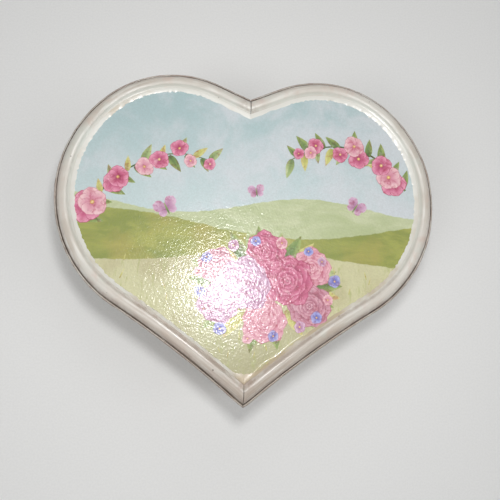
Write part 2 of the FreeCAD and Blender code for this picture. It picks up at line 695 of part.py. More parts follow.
def music_cylinder():
    """The drum with its raised pins, a few to each note and none at the comb's line at rest."""
    axis = Vector(CYLINDER_LEFT, 0, AXIS_HEIGHT)
    drum = cylinder(CYLINDER_RADIUS, axis, X, CYLINDER_LENGTH)
    pins = []
    for note in range(NOTES):
        for k in range(PINS_PER_NOTE):
            turn = 200 + ((note * 47 + k * 83 + note * k * 29) % 320)
            x = note_x(note)
            pin = box(x - PIN_WIDTH / 2, x + PIN_WIDTH / 2, -0.22, 0.22, CYLINDER_RADIUS - 0.3,
                      CYLINDER_RADIUS + PIN_HEIGHT)
            pin.rotate(ORIGIN, X, turn)
            pin.translate(Z * AXIS_HEIGHT)
            pins.append(pin)
    bore = cylinder(CYLINDER_ARBOR_RADIUS, Vector(0, 0, AXIS_HEIGHT), X, 60)
    return drum.multiFuse(pins).cut(bore)


def gear_line():
    """Direction from the cylinder's axis to the governor arbor, as an angle from +Y towards +Z."""
    return math.atan2(GOVERNOR_Z - AXIS_HEIGHT, GOVERNOR_Y)


def cylinder_gear():
    levels = spur_levels(CYLINDER_GEAR_TEETH, SPUR_MODULE, TOOTH_SHARE, 0.8, 1.2)
    ring = tooth_ring(CYLINDER_GEAR_TEETH, levels, gear_line())
    gear = closed_face(about_x(ring, GEAR_LEFT, 0, AXIS_HEIGHT)).extrude(X * GEAR_WIDTH)
    return gear.cut(cylinder(CYLINDER_ARBOR_RADIUS, Vector(0, 0, AXIS_HEIGHT), X, 60))


def governor_arbor():
    """The pinion and its shaft, cut from one piece."""
    levels = spur_levels(GOVERNOR_PINION_TEETH, SPUR_MODULE, TOOTH_SHARE, 0.9, 1.2)
    phase = gear_line() + math.pi + math.pi / GOVERNOR_PINION_TEETH
    ring = tooth_ring(GOVERNOR_PINION_TEETH, levels, phase)
    left = GEAR_LEFT - 0.2
    pinion = closed_face(about_x(ring, left, GOVERNOR_Y, GOVERNOR_Z)).extrude(X * (GEAR_WIDTH + 0.4))
    start = Vector(left, GOVERNOR_Y, GOVERNOR_Z)
    shaft = cylinder(GOVERNOR_ARBOR_RADIUS, start, X, FRAME_PLATE[1] - left)
    return fuse([pinion, shaft])


def worm_wheel():
    """A wheel with slanted teeth that match the worm's lead."""
    levels = spur_levels(WORM_WHEEL_TEETH, WORM_MODULE, WORM_TOOTH_SHARE, 0.85, 1.2)
    ring = tooth_ring(WORM_WHEEL_TEETH, levels, 0.0)
    width = 1.4
    lean = WORM_LEAD / (2 * math.pi * WORM_RADIUS)
    turn = lean * width / 2 / WORM_WHEEL_RADIUS
    ends = [about_x(ring, WORM_X + s * width / 2, GOVERNOR_Y, GOVERNOR_Z, s * turn) for s in (-1, 1)]
    bore = cylinder(GOVERNOR_ARBOR_RADIUS, Vector(0, GOVERNOR_Y, GOVERNOR_Z), X, 60)
    return skin(ends[0], ends[1], True).cut(bore)


def worm_ridge(start):
    """One thread of the worm, as a flat-sided ridge that climbs round the core."""
    root = WORM_RADIUS - 0.6
    tip = WORM_RADIUS + 0.34
    section = [(root, -0.34), (tip, -0.14), (tip, 0.14), (root, 0.34)]
    steps = round(WORM_LENGTH / WORM_LEAD * WORM_STEPS)
    rings = []
    for k in range(steps + 1):
        turn = 2 * math.pi * k / WORM_STEPS
        rise = GOVERNOR_Z - WORM_LENGTH / 2 + WORM_LEAD * k / WORM_STEPS
        rings.append([Vector(r * math.cos(turn), r * math.sin(turn), rise + dz) for r, dz in section])
    faces = [closed_face(rings[0]), closed_face(rings[-1])]
    for low, high in zip(rings, rings[1:]):
        faces += side_faces(low, high, True)
    ridge = Part.makeSolid(Part.makeShell(faces))
    ridge.rotate(ORIGIN, Z, 360.0 * start / WORM_STARTS + worm_phase())
    return ridge


def fan_worm():
    """The worm on its upright shaft, with the two-bladed fan below it."""
    bottom = GOVERNOR_Z - WORM_LENGTH / 2
    pieces = [
        cylinder(0.7, Z * FAN_BOTTOM, Z, FRAME_SHELF - 0.2 - FAN_BOTTOM),
        cylinder(PIVOT_RADIUS, Z * 0.9, Z, FRAME_SHELF + 0.2),
        cylinder(WORM_RADIUS - 0.5, Z * bottom, Z, WORM_LENGTH),
        cylinder(1.5, Z * FAN_BOTTOM, Z, FAN_HEIGHT),
        box(-FAN_RADIUS, FAN_RADIUS, -0.25, 0.25, FAN_BOTTOM, FAN_BOTTOM + FAN_HEIGHT),
    ]
    worm = fuse(pieces + [worm_ridge(k) for k in range(WORM_STARTS)])
    worm.translate(Vector(WORM_X, WORM_Y, 0))
    return worm


def worm_phase():
    """Turn, in degrees, that puts a gap between threads at the wheel's tooth at rest."""
    return -90.0 - WORM_LENGTH / 2 / WORM_LEAD * 360.0 + 180.0 / WORM_STARTS


def governor_frame():
    """A bent plate that holds the far end of the governor arbor and the top of the worm."""
    x0, x1 = FRAME_PLATE
    top = FRAME_SHELF + FRAME_THICK
    leg = box(x0, x1, -1.0, 5.2, BEDPLATE_THICK, 8.0)
    plate = box(x0, x1, -1.0, WORM_Y + 2.6, 7.4, top)
    shelf = box(WORM_X - 1.8, x1, WORM_Y - 2.4, WORM_Y + 2.6, FRAME_SHELF, top)
    foot = box(x0, BEDPLATE_RIGHT - 0.2, -1.0, 5.2, BEDPLATE_THICK, BEDPLATE_THICK + FRAME_THICK)
    frame = fuse([leg, plate, shelf, foot])
    cuts = [
        cylinder(GOVERNOR_ARBOR_RADIUS + RUNNING_GAP, Vector(38, GOVERNOR_Y, GOVERNOR_Z), X, 10),
        cylinder(PIVOT_RADIUS + RUNNING_GAP, Vector(WORM_X, WORM_Y, 10), Z, 15),
        cylinder(FRAME_SCREW_RADIUS + 0.1, Vector(FRAME_SCREW[0], FRAME_SCREW[1], 0), Z, 10),
    ]
    return frame.cut(cuts)


def cheese_screw(radius, head_radius, head_height, seat, length, down):
    """A slotted round-head screw; the slot runs along X."""
    way = Z * (-1 if down else 1)
    head = cylinder(head_radius, seat, way * -1, head_height)
    shank = cylinder(radius, seat, way, length)
    outer = seat - way * head_height
    slot = box(-head_radius, head_radius, -0.25, 0.25, -0.5, 0.5)
    slot.translate(outer)
    return fuse([head, shank]).cut(slot)


def frame_screw():
    seat = Vector(FRAME_SCREW[0], FRAME_SCREW[1], BEDPLATE_THICK + FRAME_THICK)
    return cheese_screw(FRAME_SCREW_RADIUS, 1.4, 1.1, seat, 2.8, True)


def comb():
    """A steel comb whose teeth grow longer towards the low notes."""
    tip = -(CYLINDER_RADIUS + PIN_HEIGHT + COMB_GAP)
    slant = (COMB_HIGH_ROOT - COMB_LOW_ROOT) / (COMB_RIGHT - COMB_LEFT)
    corners = [(COMB_LEFT, COMB_BACK), (COMB_RIGHT, COMB_BACK)]
    corners += [(COMB_RIGHT, COMB_HIGH_ROOT), (COMB_LEFT, COMB_LOW_ROOT)]
    base = closed_face([Vector(x, y, COMB_BOTTOM) for x, y in corners]).extrude(Z * COMB_THICK)
    tooth_top = AXIS_HEIGHT + COMB_TOOTH_THICK / 2
    teeth = []
    for note in range(NOTES):
        x = note_x(note)
        root = COMB_LOW_ROOT + slant * (x - COMB_LEFT) - 0.6
        half = TOOTH_WIDTH / 2
        teeth.append(box(x - half, x + half, root, tip, tooth_top - COMB_TOOTH_THICK, tooth_top))
    holes = [cylinder(COMB_SCREW_RADIUS + 0.1, Vector(x, y, 0), Z, 40) for x, y in COMB_SCREW_SPOTS]
    return fuse([base] + teeth).cut(holes)


def comb_screws():
    seats = [Vector(x, y, COMB_BOTTOM + COMB_THICK) for x, y in COMB_SCREW_SPOTS]
    return [cheese_screw(COMB_SCREW_RADIUS, 1.8, 1.3, seat, 7.0, True) for seat in seats]


def fixing_screws():
    """Screws up through the floor into the bedplate's bosses."""
    seats = [Vector(x, y, -FLOOR_THICK) for x, y in FIXING_SPOTS]
    return [cheese_screw(FIXING_RADIUS, 2.3, 1.5, seat, FLOOR_THICK + 4.5, False) for seat in seats]


def lever_pivot():
    """The headed pin that the stop lever turns on."""
    pin = cylinder(LEVER_PIN_RADIUS, Vector(0, LEVER_Y - 2.2, LEVER_PIVOT_Z), Y, 3.3)
    head = cylinder(1.6, Vector(0, LEVER_Y + LEVER_THICK + 0.2, LEVER_PIVOT_Z), Y, 0.7)
    return fuse([pin, head])


def stop_lever():
    """A flat lever from its pivot to the fan, with a nose that ends beside the fan's path."""
    y0 = LEVER_Y
    arm = box(0, WORM_X + 0.6, y0, y0 + LEVER_THICK, LEVER_PIVOT_Z - 1.2, LEVER_PIVOT_Z + 1.2)
    eye = cylinder(2.0, Vector(0, y0, LEVER_PIVOT_Z), Y, LEVER_THICK)
    pad = cylinder(1.7, Vector(LEVER_WIRE_X, y0, LEVER_PIVOT_Z), Y, LEVER_THICK)
    lever = fuse([arm, eye, pad])
    return lever.cut(cylinder(LEVER_PIN_RADIUS + RUNNING_GAP, Vector(0, 0, LEVER_PIVOT_Z), Y, 40))


def stop_wire():
    """A wire riveted to the lever, standing up through the cover to the lid."""
    y = LEVER_Y + LEVER_THICK + LEVER_WIRE_RADIUS
    return cylinder(LEVER_WIRE_RADIUS, Vector(LEVER_WIRE_X, y, LEVER_PIVOT_Z - 1.2), Z,
                    LEVER_TIP - 0.8 - LEVER_PIVOT_Z + 1.2)


def wire_cap():
    """A soft cap on the wire's end."""
    y = LEVER_Y + LEVER_THICK + LEVER_WIRE_RADIUS
    cap = cylinder(1.1, Vector(LEVER_WIRE_X, y, LEVER_TIP - 3.5), Z, 3.5)
    cap = cap.makeChamfer(0.4, [e for e in cap.Edges if e.BoundBox.ZMin > LEVER_TIP - 0.01])
    return cap.cut(cylinder(LEVER_WIRE_RADIUS, Vector(LEVER_WIRE_X, y, LEVER_TIP - 4), Z, 3.2))


def movement_cover():
    """A clear box over the movement, with a foot flange and a slot for the stop wire."""
    top = COVER_INSIDE_TOP + COVER_WALL
    w = COVER_WALL
    outer = rounded_box(COVER_LEFT - w, COVER_RIGHT + w, COVER_FRONT - w, COVER_BACK + w, 0, top, 3.0)
    rim = [e for e in outer.Edges if e.BoundBox.ZMin > top - 0.01]
    outer = outer.makeChamfer(0.8, rim)
    f = w + COVER_FLANGE
    flange = rounded_box(COVER_LEFT - f, COVER_RIGHT + f, COVER_FRONT - f, COVER_BACK + f, 0, 1.2, 5.0)
    inner = rounded_box(COVER_LEFT, COVER_RIGHT, COVER_FRONT, COVER_BACK, -1, COVER_INSIDE_TOP, 1.8)
    y = LEVER_Y + LEVER_THICK + LEVER_WIRE_RADIUS
    left, right = LEVER_WIRE_X - 5.2, LEVER_WIRE_X + 2.0
    slot = rounded_box(left, right, y - 1.4, y + 1.2, COVER_INSIDE_TOP - 2, 40, 1.2)
    return fuse([outer, flange]).cut([inner, slot])


def build_nodes():
    """Every piece, by node name, in the box's frame."""
    right_wall = wall()
    right_rim = lid_rim()
    right_moulding = swept_moulding()
    lining_inset = WALL_INNER + GLUE_GAP
    lining_ring = half_ring(lining_inset, lining_inset + LINING_THICK, FLOOR_TOP, WALL_TOP - 1.0)
    panel_inset = RABBET_INSET + GLUE_GAP
    panel_top = MOULDING_BOTTOM + PANEL_THICK
    nodes = {
        "felt_pads": felt_pads(),
        "box_wall_right": [right_wall],
        "box_wall_left": [mirrored(right_wall)],
        "floor_panel": [floor_panel()],
        "floor_lining": [floor_lining()],
        "wall_lining_right": [lining_ring],
        "wall_lining_left": [mirrored(lining_ring)],
        "lid_rim_right": [right_rim],
        "lid_rim_left": [mirrored(right_rim)],
        "lid_moulding_right": [right_moulding],
        "lid_moulding_left": [mirrored(right_moulding)],
        "lid_panel": [heart(panel_inset, MOULDING_BOTTOM, panel_top)],
        "picture_print": [heart(panel_inset, panel_top, panel_top + PRINT_THICK)],
        "lid_lining": [heart(WALL_INNER + GLUE_GAP, MOULDING_BOTTOM - LID_LINING_THICK, MOULDING_BOTTOM)],
        "lid_mirror": [lid_mirror()],
        "hinge_box_leaves": [hinge_leaf(-1, -1), hinge_leaf(1, -1)],
        "hinge_lid_leaves": [hinge_leaf(-1, 1), hinge_leaf(1, 1)],
        "hinge_pins": [hinge_pin(-1), hinge_pin(1)],
        "hinge_box_screws": hinge_screws(-1),
        "hinge_lid_screws": hinge_screws(1),
    }
    movement = {
        "movement_bedplate": [bedplate()],
        "spring_housing": [spring_housing()],
        "mainspring": [mainspring()],
        "winding_arbor": [winding_arbor()],
        "winding_key": [winding_key()],
        "ratchet_wheel": [ratchet_wheel()],
        "great_wheel": [great_wheel()],
        "ratchet_click": [click()],
        "music_cylinder": [music_cylinder()],
        "cylinder_arbor": [cylinder_arbor()],
        "cylinder_pinion": [cylinder_pinion()],
        "cylinder_gear": [cylinder_gear()],
        "governor_arbor": [governor_arbor()],
        "worm_wheel": [worm_wheel()],
        "fan_worm": [fan_worm()],
        "governor_frame": [governor_frame()],
        "frame_screw": [frame_screw()],
        "music_comb": [comb()],
        "comb_screws": comb_screws(),
        "fixing_screws": fixing_screws(),
        "lever_pivot": [lever_pivot()],
        "stop_lever": [stop_lever()],
        "stop_wire": [stop_wire()],
        "wire_cap": [wire_cap()],
        "movement_cover": [movement_cover()],
    }
    for name, shapes in movement.items():
        nodes[name] = [in_movement(shape) for shape in shapes]
    return nodes


def main():
    os.makedirs("parts", exist_ok=True)
    for name, shapes in build_nodes().items():
        solids = [solid for shape in shapes for solid in shape.Solids]
        shape = solids[0] if len(solids) == 1 else Part.makeCompound(solids)
        shape.exportStep("parts/" + name + ".step")


main()
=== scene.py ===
"""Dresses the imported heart-shaped music box: moulding, varnished print, velvet, brass works and key."""
import cmath
import json
import logging
import math
import random
from contextlib import contextmanager
from dataclasses import dataclass, field
from enum import Enum
from functools import cached_property, reduce
from typing import Any, Callable, Iterator, Sequence

import bmesh
import bpy
from mathutils import Color, Euler, Matrix, Vector, noise


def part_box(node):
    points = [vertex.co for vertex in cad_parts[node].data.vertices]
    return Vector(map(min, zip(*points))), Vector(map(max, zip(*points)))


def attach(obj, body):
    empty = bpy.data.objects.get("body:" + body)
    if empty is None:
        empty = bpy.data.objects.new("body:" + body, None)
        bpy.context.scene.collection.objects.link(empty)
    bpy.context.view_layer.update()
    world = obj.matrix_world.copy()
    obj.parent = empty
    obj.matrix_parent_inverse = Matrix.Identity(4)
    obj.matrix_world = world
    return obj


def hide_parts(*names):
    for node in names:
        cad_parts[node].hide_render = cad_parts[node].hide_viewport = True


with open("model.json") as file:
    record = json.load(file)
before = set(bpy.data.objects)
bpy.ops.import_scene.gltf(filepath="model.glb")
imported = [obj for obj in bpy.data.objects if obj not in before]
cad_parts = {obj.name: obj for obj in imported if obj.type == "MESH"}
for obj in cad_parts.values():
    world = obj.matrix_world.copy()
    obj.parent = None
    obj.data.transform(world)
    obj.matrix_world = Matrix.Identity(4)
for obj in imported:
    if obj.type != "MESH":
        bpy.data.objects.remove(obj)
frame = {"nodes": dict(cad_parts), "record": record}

MM = 0.001
Colour = tuple[float, float, float, float]
Place = tuple[float, float]
Section = list[Place]
Piece = bpy.types.Object
Material = bpy.types.Material
Socket = bpy.types.NodeSocket
log = logging.getLogger("music_box")


def paint(red: int, green: int, blue: int) -> Colour:
    """Returns a colour given 0 to 255, as the shader's own linear colour."""
    mixed = Color((red / 255.0, green / 255.0, blue / 255.0))
    return (*mixed.from_srgb_to_scene_linear(), 1.0)


def blended(first: Colour, second: Colour, share: float) -> Colour:
    """Returns the colour that lies that share of the way from the first to the second."""
    share = min(max(share, 0.0), 1.0)
    return tuple(a + (b - a) * share for a, b in zip(first, second))


def bell(value: float, middle: float, width: float) -> float:
    """Returns a smooth hump of height 1 round the middle."""
    return math.exp(-((value - middle) / width) ** 2)


def unit(degrees: float) -> Vector:
    """Returns the flat unit vector at that angle from +X."""
    return Vector((math.cos(math.radians(degrees)), math.sin(math.radians(degrees)), 0.0))


def arc(start: Place, via: Place, end: Place, steps: int) -> Section:
    """Rounds a section from one point to another through a third.

    Args:
        start: Where the arc starts; it is left out of the result.
        via: A point that the arc passes.
        end: Where the arc ends.
        steps: How many straight runs stand for the arc.

    Returns:
        The arc's points after its start.
    """
    first, middle, last = complex(*start), complex(*via), complex(*end)
    ratio = (last - first) / (middle - first)
    centre = first + (middle - first) * (ratio - abs(ratio) ** 2) / (2j * ratio.imag)
    spoke = first - centre
    sweep = cmath.phase((last - centre) / spoke) % math.tau
    if cmath.phase((middle - centre) / spoke) % math.tau > sweep:
        sweep -= math.tau
    points = [centre + spoke * cmath.rect(1.0, sweep * step / steps) for step in range(1, steps + 1)]
    return [(point.real, point.imag) for point in points]


def take_up(piece: Piece) -> None:
    """Leaves a piece as the only selected and active object.

    Args:
        piece: The piece.
    """
    bpy.ops.object.select_all(action="DESELECT")
    piece.select_set(True)
    bpy.context.view_layer.objects.active = piece


@contextmanager
def editing(piece: Piece) -> Iterator[None]:
    """Opens a piece in edit mode with all of it selected, and closes it again.

    Args:
        piece: The piece.

    Yields:
        Control, while the piece is open.
    """
    take_up(piece)
    bpy.ops.object.mode_set(mode="EDIT")
    bpy.ops.mesh.select_all(action="SELECT")
    yield
    bpy.ops.object.mode_set(mode="OBJECT")


def extrude(move: Sequence[float]) -> None:
    """Extrudes what is selected in edit mode by that move."""
    bpy.ops.mesh.extrude_region_move(TRANSFORM_OT_translate={"value": move})


def face_out() -> None:
    """Turns every face of the piece in edit mode outwards."""
    bpy.ops.mesh.select_all(action="SELECT")
    bpy.ops.mesh.normals_make_consistent(inside=False)


def added(name: str) -> Piece:
    """Names the piece that was just added or joined, and its mesh."""
    bpy.context.object.name = bpy.context.object.data.name = name
    return bpy.context.object


def wire_loop(name: str, places: Sequence[Vector]) -> Piece:
    """Starts a piece as a closed loop of edges through the places given.

    Args:
        name: The piece's name.
        places: The loop's corners, in order.

    Returns:
        The new piece.
    """
    bpy.ops.mesh.primitive_circle_add(vertices=len(places), radius=0.01, fill_type="NOTHING")
    piece = added(name)
    for vertex, place in zip(piece.data.vertices, places):
        vertex.co = place
    return piece


def drawn(name: str, places: Sequence[Place], width: float, swell: Callable[[int], float], runs: int,
          roundness: int, closed: bool) -> Piece:
    """Draws a round stroke through places given in millimetres.

    Args:
        name: The stroke's name.
        places: Where it passes.
        width: Its full width, in metres.
        swell: Gives the share of the width at a place from the place's number.
        runs: How many straight runs lie between two places.
        roundness: How finely its section is divided.
        closed: Whether its ends are closed.

    Returns:
        The stroke as a mesh, level with the origin.
    """
    bpy.ops.curve.primitive_bezier_curve_add(radius=0.01)
    curve = bpy.context.object.data
    curve.splines.clear()
    spline = curve.splines.new("BEZIER")
    spline.bezier_points.add(len(places) - 1)
    for index, (point, (x, y)) in enumerate(zip(spline.bezier_points, places)):
        point.co = (x * MM, y * MM, 0.0)
        point.handle_left_type = point.handle_right_type = "AUTO"
        point.radius = swell(index)
    spline.resolution_u = runs
    curve.bevel_depth = width / 2
    curve.bevel_resolution = roundness
    curve.use_fill_caps = closed
    bpy.ops.object.convert(target="MESH")
    return added(name)


def smooth(piece: Piece, degrees: float) -> None:
    """Shades the piece smooth, apart from edges sharper than the angle."""
    take_up(piece)
    bpy.ops.object.shade_smooth_by_angle(angle=math.radians(degrees))


def modify(piece: Piece, kind: str, **settings: Any) -> None:
    """Adds a modifier with its settings and applies it.

    Args:
        piece: The piece to change.
        kind: The modifier's type.
        settings: The modifier's settings.
    """
    take_up(piece)
    modifier = piece.modifiers.new(kind.lower(), kind)
    for name, value in settings.items():
        setattr(modifier, name, value)
    bpy.ops.object.modifier_apply(modifier=modifier.name)


def rounded(piece: Piece, width: float, segments: int, degrees: float, **settings: Any) -> None:
    """Rounds a piece's edges that are sharper than the angle, by a width and in a number of faces."""
    modify(piece, "BEVEL", width=width, segments=segments, limit_method="ANGLE",
           angle_limit=math.radians(degrees), **settings)


def cut_box(piece: Piece, low: Sequence[float], high: Sequence[float]) -> None:
    """Cuts a box out of a piece.

    Args:
        piece: The piece.
        low: The box's lowest corner.
        high: The box's highest corner.
    """
    middle = (Vector(low) + Vector(high)) / 2
    bpy.ops.mesh.primitive_cube_add(size=1.0, location=middle, scale=Vector(high) - Vector(low))
    cutter = added("cutter")
    modify(piece, "BOOLEAN", operation="DIFFERENCE", solver="EXACT", object=cutter)
    bpy.data.objects.remove(cutter)


def joined(name: str, pieces: Sequence[Piece]) -> Piece:
    """Joins pieces into one.

    Args:
        name: The joined piece's name.
        pieces: What is joined; the first one stays.

    Returns:
        The joined piece.
    """
    take_up(pieces[0])
    for piece in pieces:
        piece.select_set(True)
    bpy.ops.object.join()
    return added(name)


def copied(piece: Piece, name: str, move: Matrix | None = None) -> Piece:
    """Copies a piece with its own mesh, moved in the mesh.

    Args:
        piece: What is copied.
        name: The copy's name.
        move: How the copy is moved from the first one's place.

    Returns:
        The copy.
    """
    twin = bpy.data.objects.new(name, piece.data.copy())
    twin.data.name = name
    bpy.context.scene.collection.objects.link(twin)
    if move is not None:
        twin.data.transform(move)
    return twin


def mirrored(piece: Piece, name: str) -> Piece:
    """Copies a right-hand piece to the left of the heart's middle, with its faces turned out again.

    Args:
        piece: The right-hand piece.
        name: The copy's name.

    Returns:
        The left-hand piece.
    """
    twin = copied(piece, name, Matrix.Scale(-1.0, 4, Vector((1.0, 0.0, 0.0))))
    with editing(twin):
        bpy.ops.mesh.flip_normals()
    return twin


def marked(piece: Piece, **rules: Callable[[Vector], float]) -> None:
    """Writes numbers on each of a piece's vertices, for its material to read.

    Args:
        piece: The piece.
        rules: Each attribute's name, and what gives its number from the vertex's place.
    """
    for name, rule in rules.items():
        attribute = piece.data.attributes.new(name, "FLOAT", "POINT")
        attribute.data.foreach_set("value", [rule(vertex.co) for vertex in piece.data.vertices])


def tinted(piece: Piece, rule: Callable[[Vector], Colour]) -> None:
    """Paints a colour on each of a piece's vertices, over any that is there.

    Args:
        piece: The piece.
        rule: Gives the colour from the vertex's place.
    """
    attributes = piece.data.attributes
    tint = attributes.get("tint") or attributes.new("tint", "FLOAT_COLOR", "POINT")
    tint.data.foreach_set("color", [level for vertex in piece.data.vertices for level in rule(vertex.co)])


@dataclass(frozen=True)
class Bend:
    """An arc of the heart's outline, which bulges where its hand is 1 and is hollow where it is -1."""

    centre: Vector
    radius: float
    facing: float
    sweep: float
    hand: int = 1

    def turned(self, place: Vector) -> float:
        """Returns how many degrees past the arc's start a place lies."""
        away = place - self.centre
        return self.hand * (self.facing - math.degrees(math.atan2(away.y, away.x)))


@dataclass(frozen=True)
class HeartOutline:
    """The heart's outer line: from the cleft a straight run, the lobe, the shoulder and the hollow side."""

    cleft: float = 71.6865 * MM
    slope: float = 23.5
    run: float = 17.4 * MM
    lobe_radius: float = 53.4 * MM
    lobe_end: float = -41.3
    shoulder_radius: float = 66.3 * MM
    shoulder_end: float = -148.2
    waist_radius: float = 510.0 * MM
    mitre_gap: float = 0.12 * MM
    before_cleft: float = 14.0 * MM
    past_tip: float = 3.0
    run_steps: int = 6
    bend_steps: tuple[int, int, int] = (36, 84, 36)
    edge_spacing: float = 1.5 * MM

    @staticmethod
    def inwards(heading: float) -> Vector:
        """Returns the direction into the heart from a line with that heading."""
        return unit(heading - 90.0)

    @cached_property
    def cleft_corner(self) -> Vector:
        """Where the two halves meet at the cleft."""
        return Vector((0.0, self.cleft, 0.0))

    @cached_property
    def lobe_start(self) -> Vector:
        """Where the straight run meets the lobe."""
        return self.cleft_corner + unit(self.slope) * self.run

    @cached_property
    def bends(self) -> tuple[Bend, Bend, Bend]:
        """The arcs of the lobe, the shoulder and the hollow side."""
        lobe = self.lobe_start + self.inwards(self.slope) * self.lobe_radius
        shoulder = lobe - self.inwards(self.lobe_end) * (self.lobe_radius - self.shoulder_radius)
        waist = shoulder - self.inwards(self.shoulder_end) * (self.shoulder_radius + self.waist_radius)
        facing = self.shoulder_end + 270.0
        reach = math.degrees(math.acos(-waist.x / self.waist_radius))
        return (Bend(lobe, self.lobe_radius, self.slope + 90.0, self.slope - self.lobe_end),
                Bend(shoulder, self.shoulder_radius, self.lobe_end + 90.0, self.lobe_end - self.shoulder_end),
                Bend(waist, self.waist_radius, facing, reach - facing, -1))

    @cached_property
    def tip(self) -> float:
        """How far along Y the heart's tip lies."""
        centre = self.bends[2].centre
        return centre.y + math.sqrt(self.waist_radius ** 2 - centre.x ** 2)

    def locate(self, place: Vector) -> tuple[float, float, Vector]:
        """Finds where a place lies beside the outline.

        Args:
            place: A place near the outline.

        Returns:
            The way along the outline from the cleft, the inset from it, and the direction inwards.
        """
        flat = Vector((abs(place.x), place.y, 0.0))
        if self.bends[0].turned(flat) < 0.0:
            away, inward = flat - self.cleft_corner, self.inwards(self.slope)
            way, inset = away.dot(unit(self.slope)), away.dot(inward)
        else:
            way = self.run
            for bend in self.bends:
                turned = bend.turned(flat)
                if turned <= bend.sweep or bend is self.bends[2]:
                    break
                way += bend.radius * math.radians(bend.sweep)
            away = flat - bend.centre
            way += bend.radius * math.radians(turned)
            inset = bend.hand * (bend.radius - away.length)
            inward = away.normalized() * -bend.hand
        return way, inset, Vector((-inward.x if place.x < 0.0 else inward.x, inward.y, 0.0))

    def way(self, place: Vector) -> float:
        """Returns how far along the outline a place lies."""
        return self.locate(place)[0]

    def inset(self, place: Vector) -> float:
        """Returns how far inside the outline a place lies."""
        return self.locate(place)[1]

    def swept(self, name: str, section: Section, gap: float | None = None) -> Piece:
        """Draws a section along the right half of the heart and cuts it square to the middle, as a mitre.

        Args:
            name: The piece's name.
            section: The closed section, as inset and height.
            gap: The clear width left at the heart's middle; the mitre's own where none is given.

        Returns:
            The right-hand piece, closed at its ends.
        """
        ahead = unit(self.slope) * (self.run + self.before_cleft)
        start, inward = self.lobe_start - ahead, self.inwards(self.slope)
        places = [start + inward * inset + Vector((0.0, 0.0, height)) for inset, height in section]
        piece = wire_loop(name, places)
        with editing(piece):
            for _ in range(self.run_steps):
                extrude(ahead / self.run_steps)
            for bend, steps in zip(self.bends, self.bend_steps):
                sweep = bend.sweep + (self.past_tip if bend.hand < 0 else 0.0)
                bpy.ops.mesh.spin(steps=steps, angle=math.radians(bend.hand * sweep), center=bend.centre,
                                  axis=(0.0, 0.0, 1.0))
            bpy.ops.mesh.select_all(action="SELECT")
            bpy.ops.mesh.remove_doubles(threshold=1e-7)
            cut = (self.mitre_gap if gap is None else gap) / 2
            bpy.ops.mesh.bisect(plane_co=(cut, 0.0, 0.0), plane_no=(1.0, 0.0, 0.0), use_fill=True,
                                clear_inner=True)
            face_out()
        return piece

    def ring(self, inset: float) -> list[Vector]:
        """Walks once round the heart at an inset.

        Args:
            inset: How far inside the outline.

        Returns:
            The places, from the cleft round by the right.
        """
        begin = self.cleft_corner + self.inwards(self.slope) * inset
        half = [begin - unit(self.slope) * (begin.x / unit(self.slope).x)]
        for bend in self.bends:
            radius, sweep = bend.radius - bend.hand * inset, bend.sweep
            if bend.hand < 0:
                sweep = math.degrees(math.acos(-bend.centre.x / radius)) - bend.facing
            steps = max(2, round(radius * math.radians(sweep) / self.edge_spacing))
            half += [bend.centre + unit(bend.facing - bend.hand * sweep * step / steps) * radius
                     for step in range(0 if len(half) == 1 else 1, steps + 1)]
        half[-1].x = 0.0
        return half + [Vector((-place.x, place.y, 0.0)) for place in reversed(half[1:-1])]

    def slab(self, name: str, inset: float, bottom: float, top: float) -> Piece:
        """Makes a heart-shaped board.

        Args:
            name: The piece's name.
            inset: How far inside the outline its edge lies.
            bottom: Its lower face's height.
            top: Its upper face's height.

        Returns:
            The board.
        """
        piece = wire_loop(name, [place + Vector((0.0, 0.0, bottom)) for place in self.ring(inset)])
        with editing(piece):
            bpy.ops.mesh.edge_face_add()
            extrude((0.0, 0.0, top - bottom))
            face_out()
        return piece


def add_node(tree: bpy.types.NodeTree, kind: str, sockets: dict[Any, Any] | None = None,
             **settings: Any) -> bpy.types.Node:
    """Adds a node to a shader's tree.

    Args:
        tree: The tree.
        kind: The node's type, without its common prefix.
        sockets: What goes into its inputs: a number, a colour or another node's output.
        settings: The node's own settings.

    Returns:
        The node.
    """
    node = tree.nodes.new("ShaderNode" + kind)
    for name, value in settings.items():
        setattr(node, name, value)
    for key, value in (sockets or {}).items():
        if isinstance(value, Socket):
            tree.links.new(value, node.inputs[key])
        else:
            node.inputs[key].default_value = value
    return node


